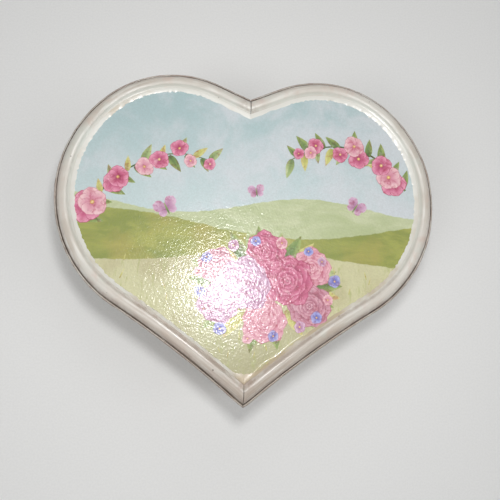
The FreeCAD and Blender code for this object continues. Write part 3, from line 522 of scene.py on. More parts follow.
class Finish:
    """A finish that a maker would name, with the patterns and coats that it is mixed from."""

    name: str

    def mix(self) -> None:
        """Puts the finish together, in each kind's own way."""
        raise NotImplementedError

    @cached_property
    def blank(self) -> Material:
        """The finish's material, before anything is mixed in it."""
        material = bpy.data.materials.new(self.name)
        material.use_nodes = True
        material.node_tree.nodes.clear()
        return material

    @cached_property
    def material(self) -> Material:
        """The finish's material, mixed the first time that it is asked for."""
        self.mix()
        return self.blank

    def on(self, piece: Piece) -> None:
        """Covers a piece with the finish."""
        piece.data.materials.clear()
        piece.data.materials.append(self.material)

    def node(self, kind: str, sockets: dict[Any, Any] | None = None, **settings: Any) -> bpy.types.Node:
        """Adds a node to the finish's material and returns it."""
        return add_node(self.blank.node_tree, kind, sockets, **settings)

    @cached_property
    def place(self) -> Socket:
        """The place on the piece, in metres."""
        return self.node("TexCoord").outputs["Object"]

    @cached_property
    def axes(self) -> tuple[Socket, Socket, Socket]:
        """The place on the piece as three numbers."""
        return tuple(self.node("SeparateXYZ", {0: self.place}).outputs)

    def mark(self, name: str, output: str = "Fac") -> Socket:
        """Returns a number, or another named output, that is written on the piece's vertices."""
        return self.node("Attribute", attribute_name=name).outputs[output]

    def stretched(self, scale: Sequence[float], turn: float = 0.0, vector: Socket | None = None) -> Socket:
        """Returns a pattern's place, by default the place on the piece, scaled and then turned about Z."""
        return self.node("Mapping", {"Vector": vector or self.place, "Scale": scale,
                                     "Rotation": (0.0, 0.0, math.radians(turn))}).outputs["Vector"]

    def noise(self, scale: float, detail: float = 3.0, roughness: float = 0.55, distortion: float = 0.0,
              vector: Socket | None = None) -> Socket:
        """Returns a cloudy pattern, from 0 to 1, with that many clouds in a metre."""
        return self.node("TexNoise", {"Vector": vector or self.place, "Scale": scale, "Detail": detail,
                                      "Roughness": roughness, "Distortion": distortion}).outputs["Fac"]

    def grain(self, scale: Sequence[float], detail: float, distortion: float = 0.0, turn: float = 0.0,
              vector: Socket | None = None) -> Socket:
        """Returns a cloudy pattern, from 0 to 1, that is drawn out along an axis."""
        return self.noise(1.0, detail, 0.6, distortion, self.stretched(scale, turn, vector))

    def between(self, value: Any, low: float, high: float, to_low: float = 0.0,
                to_high: float = 1.0) -> Socket:
        """Returns a value eased from one range to another, and held at the ends."""
        return self.node("MapRange", {"Value": value, "From Min": low, "From Max": high, "To Min": to_low,
                                      "To Max": to_high}, interpolation_type="SMOOTHSTEP").outputs[0]

    def patches(self, scale: float, low: float, high: float, most: float = 1.0, *cloud: float) -> Socket:
        """Returns patches, from 0 to the most, where a cloudy pattern with that scale is strong."""
        return self.between(self.noise(scale, *cloud), low, high, 0.0, most)

    def maths(self, operation: str, first: Any, second: Any = 0.0) -> Socket:
        """Returns the result of one step of arithmetic."""
        return self.node("Math", {0: first, 1: second}, operation=operation).outputs[0]

    def times(self, *values: Any) -> Socket:
        """Returns the product of the values."""
        return reduce(lambda first, second: self.maths("MULTIPLY", first, second), values)

    def plus(self, *values: Any) -> Socket:
        """Returns the sum of the values."""
        return reduce(lambda first, second: self.maths("ADD", first, second), values)

    def minus(self, first: Any, second: Any) -> Socket:
        """Returns the first value less the second."""
        return self.maths("SUBTRACT", first, second)

    def mixed(self, share: Any, first: Any, second: Any, blend: str = "MIX") -> Socket:
        """Returns two colours mixed by a share."""
        colours = {0: share, 6: first, 7: second}
        return self.node("Mix", colours, data_type="RGBA", blend_type=blend).outputs[2]

    def coated(self, ground: Any, *coats: tuple[Any, Any]) -> Socket:
        """Returns the colour that shows where coats, each a share and a colour, lie over a ground."""
        return reduce(lambda under, coat: self.mixed(coat[0], under, coat[1]), coats, ground)

    def bumped(self, height: Socket, strength: float, depth: float) -> Socket:
        """Returns the surface's direction under a fine relief of that depth in metres."""
        relief = {"Height": height, "Strength": strength, "Distance": depth}
        return self.node("Bump", relief).outputs["Normal"]

    def shown(self, surface: Socket) -> None:
        """Ends the material with that surface."""
        self.node("OutputMaterial", {"Surface": surface})

    def finished(self, sockets: dict[str, Any]) -> None:
        """Ends the material with the usual surface shader, given what goes into it."""
        self.shown(self.node("BsdfPrincipled", sockets).outputs[0])


@dataclass(frozen=True)
class CreamPaint(Finish):
    """Cream paint under thin varnish, rubbed on high lines, with grime and painted shade in quirks, painted
    light and highlight.
    """

    name: str = "cream_paint"
    cream: Colour = paint(207, 202, 193)
    warm: Colour = paint(192, 183, 171)
    chalk: Colour = paint(222, 219, 212)
    tan: Colour = paint(199, 176, 163)
    # Painted shade, laid towards the tip.
    tip_shade: Colour = paint(168, 154, 140)
    # Painted highlight along the crest.
    highlight: Colour = paint(231, 228, 221)
    # Cool grey-green: tone at random, and painted light in the coves away from the tip.
    cool: Colour = paint(200, 204, 195)
    # Rubbed paint, also used as painted shade on the outer fillet, the outer slope and the tip-side coves.
    rubbed: Colour = paint(166, 149, 137)
    # Grime, also painted shade in the quirks and on the outer fillet.
    grime_and_shade: Colour = paint(92, 78, 68)
    roughness: float = 0.4

    def mix(self) -> None:
        """Lays the paint's coats, its painted shade, light and highlight, then its wear and grime, both with
        painted shade in them.
        """
        across, along, _ = self.axes
        run = self.node("CombineXYZ", {0: self.mark("along"), 1: self.mark("across"), 2: 0.0}).outputs[0]
        strokes = self.grain((70.0, 1500.0, 1.0), 4.0, 0.4, vector=run)
        streaks = self.grain((34.0, 420.0, 1.0), 3.0, 0.3, vector=run)
        specks = self.noise(900.0, 2.0)
        # Painted shade: the paint darker towards the tip, broken up by the streaks.
        front = self.between(along, -78.0 * MM, -12.0 * MM, 0.95, 0.0)
        tip_shade_share = self.times(front, self.between(streaks, 0.3, 0.7, 1.0, 0.35))
        # Where the painted highlight along the crest is kept, in patches and streaks.
        highlight_kept = self.times(self.patches(34.0, 0.4, 0.62), self.between(streaks, 0.35, 0.6, 0.25, 1.0))
        # Rubbed paint, with painted shade on the fillet, the outer slope and the coves towards the tip.
        worn_and_shaded = self.times(self.mark("wear"), self.patches(160.0, 0.4, 0.6, 1.0, 5.0, 0.7))
        # Grime and painted shade in the quirk, and painted shade on the outer fillet.
        dirt_and_shade = self.times(self.mark("groove"), self.between(self.noise(120.0), 0.2, 0.6, 0.45, 1.0))
        seam = self.between(self.maths("ABSOLUTE", across), 0.06 * MM, 0.27 * MM, 0.7, 0.0)
        pits = self.node("TexVoronoi", {"Vector": self.place, "Scale": 150.0}).outputs["Distance"]
        colour = self.coated(
            self.cream,
            (self.patches(38.0, 0.42, 0.68), self.warm),
            (self.between(strokes, 0.35, 0.75, 0.0, 0.35), self.warm),
            (self.between(streaks, 0.5, 0.7, 0.0, 0.75), self.chalk),
            (self.patches(95.0, 0.48, 0.72, 0.6, 4.0, 0.6, 0.5), self.tan),
            (self.patches(64.0, 0.5, 0.7, 0.5, 3.0, 0.6, 0.6), self.cool),
            # Painted shade towards the tip.
            (tip_shade_share, self.tip_shade),
            # Painted light: the coves away from the tip lighter, in cool grey-green.
            (self.times(self.mark("cove"), 0.55), self.cool),
            # Painted highlight along the crest.
            (self.times(self.mark("ridge"), highlight_kept), self.highlight),
            (worn_and_shaded, self.rubbed),
            # Grime and painted shade in the quirks and on the fillet, and the dark mitre seams.
            (self.maths("MAXIMUM", dirt_and_shade, seam), self.grime_and_shade),
            (self.between(pits, 0.05, 0.075, 0.5, 0.0), self.grime_and_shade))
        relief = self.plus(strokes, self.times(specks, 0.5))
        self.finished({
            "Base Color": colour, "Normal": self.bumped(relief, 0.4, 0.06 * MM),
            "Roughness": self.between(strokes, 0.3, 0.7, self.roughness - 0.07, self.roughness + 0.1),
            "Coat Weight": 0.4, "Coat Roughness": 0.2})


@dataclass(frozen=True)
class Varnish:
    """The brushed gloss coat that lies over the whole print."""

    weight: float = 1.0
    roughness: float = 0.2
    strokes: float = 1000.0
    draw: float = 0.22
    turns: tuple[float, ...] = (14.0, 61.0, 104.0, 152.0)
    swell: float = 2.5
    depth: float = 0.066 * MM

    def over(self, finish: Finish, colour: Socket) -> None:
        """Ends a painted material with the coat and its brush marks on it.

        Args:
            finish: The material's finish.
            colour: The paint under the coat.
        """
        marks = finish.times(finish.noise(75.0, 2.0), self.swell)
        for turn in self.turns:
            turned = finish.stretched((1.0, 1.0, 1.0), turn)
            stroke = finish.stretched((self.strokes, self.strokes * self.draw, 1.0), vector=turned)
            marks = finish.plus(marks, finish.noise(1.0, 1.0, 0.5, 0.6, stroke))
        direction = finish.bumped(marks, 1.0, self.depth)
        finish.finished({
            "Base Color": colour, "Roughness": 0.55, "Normal": direction, "Coat Normal": direction,
            "Coat Weight": self.weight, "Coat Roughness": self.roughness})


@dataclass(frozen=True)
class CountryWash(Finish):
    """The print's ground: pale sky, two lines of hills and a meadow, laid in as watercolour."""

    name: str = "country_wash"
    varnish: Varnish = Varnish()
    high_sky: Colour = paint(164, 187, 189)
    low_sky: Colour = paint(188, 204, 205)
    cloud: Colour = paint(203, 207, 211)
    far_hill: Colour = paint(174, 184, 138)
    far_light: Colour = paint(196, 202, 164)
    near_hill: Colour = paint(162, 164, 78)
    shade_hill: Colour = paint(132, 142, 62)
    ochre: Colour = paint(172, 158, 80)
    meadow: Colour = paint(199, 196, 154)
    stubble: Colour = paint(186, 179, 138)
    near_field: Colour = paint(165, 161, 123)
    grass: Colour = paint(166, 171, 106)
    fibre: Colour = paint(120, 118, 104)
    amber: Colour = paint(190, 164, 112)
    run_middle: Place = (16.2 * MM, -56.7 * MM)
    run_heading: Place = (0.794, 0.608)

    def crest(self, height: float, swing: float, length: float, shift: float) -> Socket:
        """Finds what lies below a rolling line, with sizes in millimetres.

        Args:
            height: The line's middle height on the print.
            swing: How far it rises and falls.
            length: The distance between its tops.
            shift: Where its first top lies.

        Returns:
            1 below the line and 0 above it, with a soft painted edge.
        """
        across, up, _ = self.axes
        phase = self.times(self.minus(across, shift * MM), math.tau / (length * MM))
        line = self.plus(self.times(self.maths("COSINE", phase), swing * MM), height * MM)
        frayed = self.times(self.minus(self.noise(220.0, 4.0), 0.5), 2.0 * MM)
        return self.between(self.plus(self.minus(line, up), frayed), -0.25 * MM, 0.35 * MM)

    def pooled(self) -> Socket:
        """Finds where varnish pooled by the lower right edge and yellowed the print.

        Returns:
            How far the print has yellowed, from 0 to 1.
        """
        ahead_x, ahead_y = self.run_heading
        from_x, from_y = (self.minus(axis, middle) for axis, middle in zip(self.axes, self.run_middle))
        beyond = self.minus(self.times(from_x, ahead_y), self.times(from_y, ahead_x))
        along = self.plus(self.times(from_x, ahead_x), self.times(from_y, ahead_y))
        wet = self.between(beyond, -0.2 * MM, 0.8 * MM)
        length = self.between(self.maths("ABSOLUTE", along), 13.0 * MM, 21.0 * MM, 1.0, 0.0)
        return self.times(wet, length, self.between(self.noise(160.0), 0.3, 0.7, 0.2, 0.75))

    def mix(self) -> None:
        """Lays the wash in from sky to meadow."""
        across, up, _ = self.axes
        blots = self.noise(48.0, 5.0, 0.6, 0.4)
        drift = self.plus(blots, self.between(across, -70.0 * MM, 40.0 * MM, 0.0, 0.16))
        sky = self.coated(
            self.low_sky,
            (self.between(up, 10.0 * MM, 72.0 * MM), self.high_sky),
            (self.between(drift, 0.42, 0.78, 0.0, 0.85), self.cloud))
        hills = self.noise(60.0, 6.0, 0.62, 0.8, self.stretched((0.6, 1.6, 1.0)))
        far = self.mixed(self.between(hills, 0.35, 0.7), self.far_hill, self.far_light)
        near = self.coated(
            self.shade_hill,
            (self.between(hills, 0.38, 0.66), self.near_hill),
            (self.patches(34.0, 0.45, 0.65, 0.6, 4.0), self.ochre))
        blades = self.grain((520.0, 110.0, 1.0), 4.0, 0.3, 8.0)
        meadow = self.coated(
            self.meadow,
            (self.between(blots, 0.4, 0.66), self.stubble),
            (self.between(up, -70.0 * MM, -30.0 * MM, 0.8, 0.0), self.near_field),
            (self.between(blades, 0.52, 0.72, 0.0, 0.7), self.grass))
        self.varnish.over(self, self.coated(
            sky,
            (self.crest(15.0, 4.5, 128.0, 30.0), far),
            (self.crest(5.0, 6.0, 190.0, -70.0), near),
            (self.crest(-11.0, 3.0, 150.0, 10.0), meadow),
            (self.patches(1400.0, 0.3, 0.7, 0.12, 2.0), self.fibre),
            (self.pooled(), self.amber)))


@dataclass(frozen=True)
class MotifPaint(Finish):
    """Painted flowers and leaves: each shape's own colours, with brush veins, under the print's varnish."""

    name: str = "motif_paint"
    varnish: Varnish = Varnish()
    bloom: Colour = paint(246, 226, 224)
    glaze: Colour = paint(222, 168, 182)
    vein: Colour = paint(110, 70, 84)

    def mix(self) -> None:
        """Lays washes over the colours that are written on the shapes."""
        washed = self.mixed(self.patches(260.0, 0.52, 0.8, 0.45, 5.0, 0.65, 0.5),
                              self.mark("tint", "Color"), self.bloom)
        glazed = self.mixed(self.patches(330.0, 0.46, 0.68, 0.85, 4.0, 0.6, 1.2), washed, self.glaze,
                            "MULTIPLY")
        self.varnish.over(self, self.mixed(self.patches(700.0, 0.55, 0.8, 0.3), glazed, self.vein))


@dataclass(frozen=True)
class PaintEdge(Finish):
    """The lip of cream paint and pooled varnish where the moulding meets the print."""

    name: str = "paint_edge"
    pale: Colour = paint(216, 214, 206)
    amber: Colour = paint(188, 172, 146)

    def mix(self) -> None:
        """Makes the lip, amber where the varnish pooled."""
        pools = self.plus(self.noise(55.0), self.times(self.mark("amber"), 0.3))
        self.finished({
            "Base Color": self.mixed(self.between(pools, 0.5, 0.85), self.pale, self.amber),
            "Normal": self.bumped(self.noise(420.0, 3.0, 0.6, 0.6), 0.5, 0.08 * MM),
            "Roughness": 0.4, "Coat Weight": 0.5, "Coat Roughness": 0.24})


@dataclass(frozen=True)
class PaintedRunHighlight(Finish):
    """The rounded border of a run of varnish, painted pale as a standing highlight."""

    name: str = "painted_run_highlight"
    pale: Colour = paint(238, 234, 214)
    straw: Colour = paint(214, 202, 160)

    def mix(self) -> None:
        """Makes the border's painted highlight: pale, in cloudy patches over straw."""
        # The pale colour is a painted highlight of the run.
        colour = self.mixed(self.patches(300.0, 0.35, 0.6, 1.0, 2.0), self.straw, self.pale)
        self.finished({"Base Color": colour, "Roughness": 0.15, "Coat Weight": 1.0, "Coat Roughness": 0.04})


@dataclass(frozen=True)
class Metal(Finish):
    """A worked metal: its clean colour, its tarnish and its grind."""

    name: str
    clean: Colour
    tarnish: Colour
    roughness: float
    grind: tuple[float, float, float] = (900.0, 90.0, 900.0)
    relief: float = 0.15

    def mix(self) -> None:
        """Makes the metal with grinding lines and cloudy tarnish."""
        lines = self.grain(self.grind, 3.0)
        clouds = self.noise(190.0, 4.0, 0.6)
        dull = self.plus(self.times(clouds, 0.6), self.times(lines, 0.4))
        self.finished({
            "Base Color": self.mixed(self.between(clouds, 0.46, 0.74), self.clean, self.tarnish),
            "Roughness": self.between(dull, 0.3, 0.7, self.roughness * 0.75, self.roughness * 1.4),
            "Metallic": 1.0, "Normal": self.bumped(lines, self.relief, 0.02 * MM)})


@dataclass(frozen=True)
class Velvet(Finish):
    """Short rose velvet with brushed patches in its pile."""

    name: str = "velvet"
    deep: Colour = paint(152, 76, 88)
    pale: Colour = paint(184, 108, 118)
    sheen: Colour = paint(246, 214, 214)

    def mix(self) -> None:
        """Makes the pile."""
        pile = self.noise(3200.0, 2.0, 0.6)
        brushed = self.noise(42.0, 3.0, 0.55, 0.25)
        colour = self.coated(self.deep, (self.between(brushed, 0.38, 0.66), self.pale),
                               (self.between(pile, 0.35, 0.7, 0.35, 0.0), self.deep))
        relief = self.plus(pile, self.times(brushed, 1.5))
        self.finished({"Base Color": colour, "Normal": self.bumped(relief, 0.6, 0.15 * MM), "Roughness": 0.95,
                         "Sheen Weight": 0.7, "Sheen Roughness": 0.35, "Sheen Tint": self.sheen})


@dataclass(frozen=True)
class Felt(Finish):
    """Pressed green felt with loose fibres."""

    name: str = "felt"
    green: Colour = paint(82, 104, 88)
    pale: Colour = paint(118, 136, 118)

    def mix(self) -> None:
        """Makes the matted fibres."""
        fibres = self.noise(1.0, 5.0, 0.7, 2.5, self.stretched((1500.0, 1500.0, 500.0)))
        self.finished({"Base Color": self.mixed(self.between(fibres, 0.35, 0.7), self.green, self.pale),
                         "Normal": self.bumped(fibres, 0.8, 0.2 * MM), "Roughness": 1.0,
                         "Sheen Weight": 0.4, "Sheen Roughness": 0.6})


@dataclass(frozen=True)
class BareBoard(Finish):
    """Unpainted softwood-faced board."""

    name: str = "board"
    pale: Colour = paint(212, 182, 140)
    dark: Colour = paint(176, 138, 96)
    pore: Colour = paint(120, 88, 58)

    def mix(self) -> None:
        """Makes the grain, along the box."""
        bends = self.noise(1.0, 4.0, 0.55, 1.4, self.stretched((14.0, 130.0, 130.0)))
        rings = self.between(self.maths("FRACT", self.times(bends, 9.0)), 0.1, 0.95)
        pores = self.grain((160.0, 2600.0, 2600.0), 3.0)
        colour = self.coated(self.pale, (rings, self.dark),
                               (self.between(pores, 0.55, 0.75, 0.0, 0.5), self.pore))
        self.finished({"Base Color": colour, "Roughness": 0.72,
                         "Normal": self.bumped(self.plus(rings, pores), 0.3, 0.06 * MM)})


@dataclass(frozen=True)
class MirrorGlass(Finish):
    """Silvered glass with a trace of haze."""

    name: str = "mirror_glass"
    silver: Colour = (0.86, 0.89, 0.88, 1.0)
    dull: Colour = (0.74, 0.78, 0.77, 1.0)

    def mix(self) -> None:
        """Makes the silvering, faintly clouded."""
        haze = self.noise(90.0, 4.0, 0.6)
        colour = self.mixed(self.between(haze, 0.5, 0.8, 0.0, 0.25), self.silver, self.dull)
        self.finished({"Base Color": colour, "Metallic": 1.0,
                         "Roughness": self.between(haze, 0.4, 0.75, 0.015, 0.06)})


@dataclass(frozen=True)
class ClearPlastic(Finish):
    """Thin clear moulded plastic, which shows most at its edges, with fine rub marks."""

    name: str = "clear_cover"
    tint: Colour = (0.86, 0.90, 0.91, 1.0)

    def mix(self) -> None:
        """Makes the clear shell."""
        rubs = self.grain((1600.0, 120.0, 400.0), 3.0, 0.0, 30.0)
        facing = self.node("LayerWeight", {"Blend": 0.3}).outputs["Facing"]
        self.finished({
            "Base Color": self.tint, "Roughness": self.between(rubs, 0.5, 0.8, 0.03, 0.12),
            "Alpha": self.plus(self.between(facing, 0.4, 0.98, 0.045, 0.75),
                                 self.between(rubs, 0.55, 0.8, 0.0, 0.06)),
            "Specular IOR Level": 1.0, "Coat Weight": 1.0, "Coat Roughness": 0.03})


@dataclass(frozen=True)
class SoftCap(Finish):
    """A pale soft cap, a little grubby."""

    name: str = "cap_rubber"
    pale: Colour = paint(222, 218, 208)
    grubby: Colour = paint(176, 168, 154)

    def mix(self) -> None:
        """Makes the cap's skin."""
        marks = self.noise(900.0, 4.0)
        self.finished({
            "Base Color": self.mixed(self.between(marks, 0.45, 0.75, 0.0, 0.7), self.pale, self.grubby),
            "Roughness": 0.65, "Normal": self.bumped(marks, 0.2, 0.03 * MM)})


@dataclass(frozen=True)
class StudioFloor(Finish):
    """The pale paper that the box stands on, which fades into the backdrop far from the box."""

    name: str = "studio_floor"
    pale: Colour = (0.80, 0.80, 0.79, 1.0)
    tooth: Colour = (0.77, 0.77, 0.76, 1.0)
    backdrop: Colour = (0.78, 0.78, 0.77, 1.0)
    fade: Place = (0.45, 1.5)

    def mix(self) -> None:
        """Makes the paper with a faint tooth."""
        tooth = self.noise(900.0, 2.0)
        paper = self.node("BsdfPrincipled", {
            "Base Color": self.mixed(self.between(tooth, 0.3, 0.7), self.pale, self.tooth),
            "Roughness": 0.7, "Normal": self.bumped(tooth, 0.2, 0.05 * MM)}).outputs[0]
        reach = self.node("VectorMath", {0: self.place}, operation="LENGTH").outputs["Value"]
        rays = self.node("LightPath").outputs
        seen = reduce(lambda first, second: self.maths("MAXIMUM", first, second), (
            rays["Is Glossy Ray"], rays["Is Transmission Ray"], rays["Is Camera Ray"]))
        share = self.times(self.between(reach, *self.fade), seen)
        glow = self.node("Emission", {"Color": self.backdrop}).outputs[0]
        self.shown(self.node("MixShader", {0: share, 1: paper, 2: glow}).outputs[0])


def fitted(piece: Piece, finish: Finish, body: str, slot: str, *nodes: str) -> Piece:
    """Covers a finished piece, lets it move with its body and puts it in place of its solids.

    Args:
        piece: The piece.
        finish: What covers it.
        body: The body that it moves with.
        slot: The record's material slot; not used.
        nodes: The solids that it stands for.

    Returns:
        The piece.
    """
    finish.on(piece)
    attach(piece, body)
    if nodes:
        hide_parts(*nodes)
    return piece


@dataclass
class LidFrame:
    """The lid's mitred moulding in two halves, with its section and waves in millimetres."""

    outline: HeartOutline
    finish: Finish
    bottom: float = 54.3 * MM
    width: float = 9.0
    rabbet_inset: float = 5.0
    rabbet_height: float = 4.0
    nail: Place = (-14.71 * MM, -64.96 * MM)
    nail_radius: float = 0.42 * MM
    tip_round: float = 0.6 * MM
    crown_wave: float = 0.22
    cove_wave: float = 0.09
    fine_wave: float = 0.05
    slow_scale: float = 45.0
    quick_scale: float = 240.0
    # The cove's middle inset and width, for its painted light and painted shade.
    cove_line: Place = (7.8 * MM, 0.9 * MM)
    # The crest's middle inset and width, for its painted highlight.
    ridge_line: Place = (6.2 * MM, 0.5 * MM)

    def section(self) -> Section:
        """Draws the moulding's section: fillet, quirk, broad crown, cove and lip.

        Returns:
            The closed section, as inset and height.
        """
        points: Section = [(0.0, 0.25), (0.0, 1.9)]
        for via, end, steps in (((0.3, 2.35), (0.85, 2.55), 5), ((1.1, 2.42), (1.25, 2.05), 4)):
            points += arc(points[-1], via, end, steps)
        points += [(1.38, 2.22), (1.55, 2.6)]
        for via, end, steps in (
                ((2.15, 4.3), (3.4, 5.6), 12), ((4.8, 6.2), (6.1, 6.4), 8), ((6.8, 6.2), (7.3, 5.8), 7),
                ((7.85, 5.3), (8.5, 4.95), 7), ((8.85, 4.72), (self.width, 4.4), 4)):
            points += arc(points[-1], via, end, steps)
        points += [(self.width, self.rabbet_height), (self.rabbet_inset, self.rabbet_height),
                   (self.rabbet_inset, 0.0), (0.25, 0.0)]
        return [(inset * MM, self.bottom + height * MM) for inset, height in points]

    def groove(self, place: Vector) -> float:
        """Finds how much grime and painted shade lie in the quirk, and painted shade on the outer fillet, at
        a place on the moulding.

        Args:
            place: The place.

        Returns:
            The grime and painted shade, from 0 to 1.
        """
        inset = self.outline.inset(place)
        # Grime and painted shade in the quirk; painted shade on the outer fillet.
        quirk = bell(inset, 1.28 * MM, 0.26 * MM) if place.z - self.bottom < 2.9 * MM else 0.0
        return min(1.0, quirk + 0.42 * bell(inset, 0.2 * MM, 0.55 * MM))

    @staticmethod
    def front(place: Vector) -> float:
        """Returns how far towards the tip a place lies, from 0 at the middle to 1."""
        return min(1.0, max(0.0, -place.y / (40.0 * MM)))

    def cove(self, place: Vector) -> float:
        """Returns how far the painted light of the cove, in cool grey-green, shows at a place on the
        moulding, away from the tip.
        """
        return (1.0 - self.front(place)) * bell(self.outline.inset(place), *self.cove_line)

    def ridge(self, place: Vector) -> float:
        """Returns how far the painted highlight along the crest shows at a place on the moulding, less near
        the tip.
        """
        return (1.0 - 0.6 * self.front(place)) * bell(self.outline.inset(place), *self.ridge_line)

    def wear(self, place: Vector) -> float:
        """Finds how far the paint is rubbed and stained, and darkened by painted shade, at a place on the
        moulding.

        Args:
            place: The place.

        Returns:
            The wear and painted shade, from 0 to 1.
        """
        inset = self.outline.inset(place)
        # Rubbed paint and painted shade on the outer fillet.
        fillet = bell(inset, 0.3 * MM, 0.6 * MM)
        # Rubbed paint and painted shade on the outer slope.
        slope = 0.7 * bell(inset, 2.1 * MM, 0.9 * MM)
        # Painted shade in the coves towards the tip.
        cove = 0.75 * self.front(place) * bell(inset, *self.cove_line)
        ends = 0.8 * bell(abs(place.x), 0.0, 4.5 * MM)
        return min(1.0, fillet + slope + cove + ends)

    def worked(self, piece: Piece, shift: float) -> None:
        """Gives a half the slight waves of sanding and brushwork on its shown faces, and a blunt tip.

        Args:
            piece: The half.
            shift: Where its waves start, so that the halves differ.
        """
        for vertex in piece.data.vertices:
            inset, height = self.outline.inset(vertex.co), vertex.co.z - self.bottom
            if height > 1.2 * MM and (inset < 4.9 * MM or height > 4.3 * MM):
                slow = noise.noise(vertex.co * self.slow_scale + Vector((shift, 0.0, 0.0)))
                quick = noise.noise(vertex.co * self.quick_scale + Vector((0.0, shift, 0.0)))
                swing = self.crown_wave if inset < 6.5 * MM else self.cove_wave
                sunk = 0.06 + 0.5 * (swing - self.cove_wave)
                vertex.co -= vertex.normal * (sunk + swing * slow + self.fine_wave * quick) * MM
            if vertex.co.y < self.outline.tip + 9.0 * MM:
                near = max(0.0, 1.0 - abs(vertex.co.x) / (3.4 * MM)) ** 2
                vertex.co.y += self.tip_round * near * max(0.0, 1.0 - inset / (5.0 * MM))

    def nail_mark(self, piece: Piece) -> Piece:
        """Makes the small sunk nail hole beside the tip, on the outer slope.

        Args:
            piece: The half that it lies on.

        Returns:
            The mark.
        """
        found, place, normal, _ = piece.ray_cast(Vector((*self.nail, 0.2)), Vector((0.0, 0.0, -1.0)))
        if not found:
            raise RuntimeError("the nail hole misses the moulding")
        bpy.ops.mesh.primitive_circle_add(vertices=18, radius=self.nail_radius, fill_type="TRIFAN")
        mark = added("nail_hole")
        with editing(mark):
            bpy.ops.mesh.subdivide(number_cuts=1)
        for vertex in mark.data.vertices:
            share = min(1.0, vertex.co.xy.length / self.nail_radius)
            ragged = 1.0 + 0.22 * noise.noise(Vector((vertex.co.x * 4000.0, vertex.co.y * 4000.0, 1.0)))
            vertex.co = Vector((vertex.co.x * ragged, vertex.co.y * ragged, (0.01 + 0.02 * share) * MM))
        mark.data.transform(Matrix.Translation(place) @ normal.to_track_quat("Z", "Y").to_matrix().to_4x4())
        # The hole is painted dark all over, with grime and the painted shade inside it.
        marked(mark, groove=lambda _: 1.0)
        smooth(mark, 60.0)
        return fitted(mark, self.finish, "lid", "cream_paint")

    def build(self) -> list[Piece]:
        """Makes both halves of the moulding and the nail hole.

        Returns:
            The pieces.
        """
        right = self.outline.swept("lid_moulding_right_dressed", self.section())
        # The marks carry grime and wear, and also painted shade, painted light in the coves and a painted
        # highlight on the crest.
        marked(right, along=self.outline.way, across=lambda place: self.outline.inset(place) + 0.7 * place.z,
               groove=self.groove, wear=self.wear, cove=self.cove, ridge=self.ridge)
        left = mirrored(right, "lid_moulding_left_dressed")
        for piece, node, shift in ((right, "lid_moulding_right", 0.0), (left, "lid_moulding_left", 5.3)):
            self.worked(piece, shift)
            smooth(piece, 40.0)
            fitted(piece, self.finish, "lid", "cream_paint", node)
        return [right, left, self.nail_mark(left)]


class Tone(Enum):
    """A flower's or leaf's colours: its heart, its middle and its edge."""

    ROSE = (paint(136, 34, 70), paint(192, 86, 124), paint(228, 160, 182))
    BLUSH = (paint(184, 92, 114), paint(212, 148, 164), paint(234, 200, 200))
    MAUVE = (paint(138, 86, 126), paint(182, 134, 164), paint(214, 184, 206))
    DUSK = (paint(136, 66, 90), paint(190, 126, 144), paint(218, 178, 186))
    BLUE = (paint(72, 76, 156), paint(122, 124, 194), paint(178, 180, 222))
    BUTTER = (paint(196, 142, 40), paint(232, 200, 104), paint(246, 230, 172))
    LEAF = (paint(62, 88, 46), paint(104, 132, 66), paint(156, 172, 96))
    SAGE = (paint(88, 116, 70), paint(140, 160, 98), paint(186, 198, 140))
    STRAW = (paint(150, 150, 72), paint(186, 184, 100), paint(212, 208, 140))

    def at(self, share: float) -> Colour:
        """Mixes the colour at a place on a petal or leaf.

        Args:
            share: How far the place lies from heart to edge, from 0 to 1.

        Returns:
            The colour.
        """
        heart, middle, edge = self.value
        if share < 0.5:
            return blended(heart, middle, share * 2.0)
        return blended(middle, edge, share * 2.0 - 1.0)


class Stencil(Enum):
    """A shape that is painted many times on the print, with the colours that it comes in."""

    LEAF = (Tone.LEAF, Tone.SAGE, Tone.LEAF, Tone.STRAW)
    BLOOM = (Tone.DUSK, Tone.BLUSH, Tone.ROSE, Tone.MAUVE)
    FIVE = (Tone.ROSE, Tone.BLUSH, Tone.ROSE)
    SMALL = (Tone.BLUE, Tone.MAUVE, Tone.BLUE, Tone.BLUSH)
    BLADE = (Tone.STRAW,)
    WING = (Tone.MAUVE,)
    INSECT = (Tone.LEAF,)


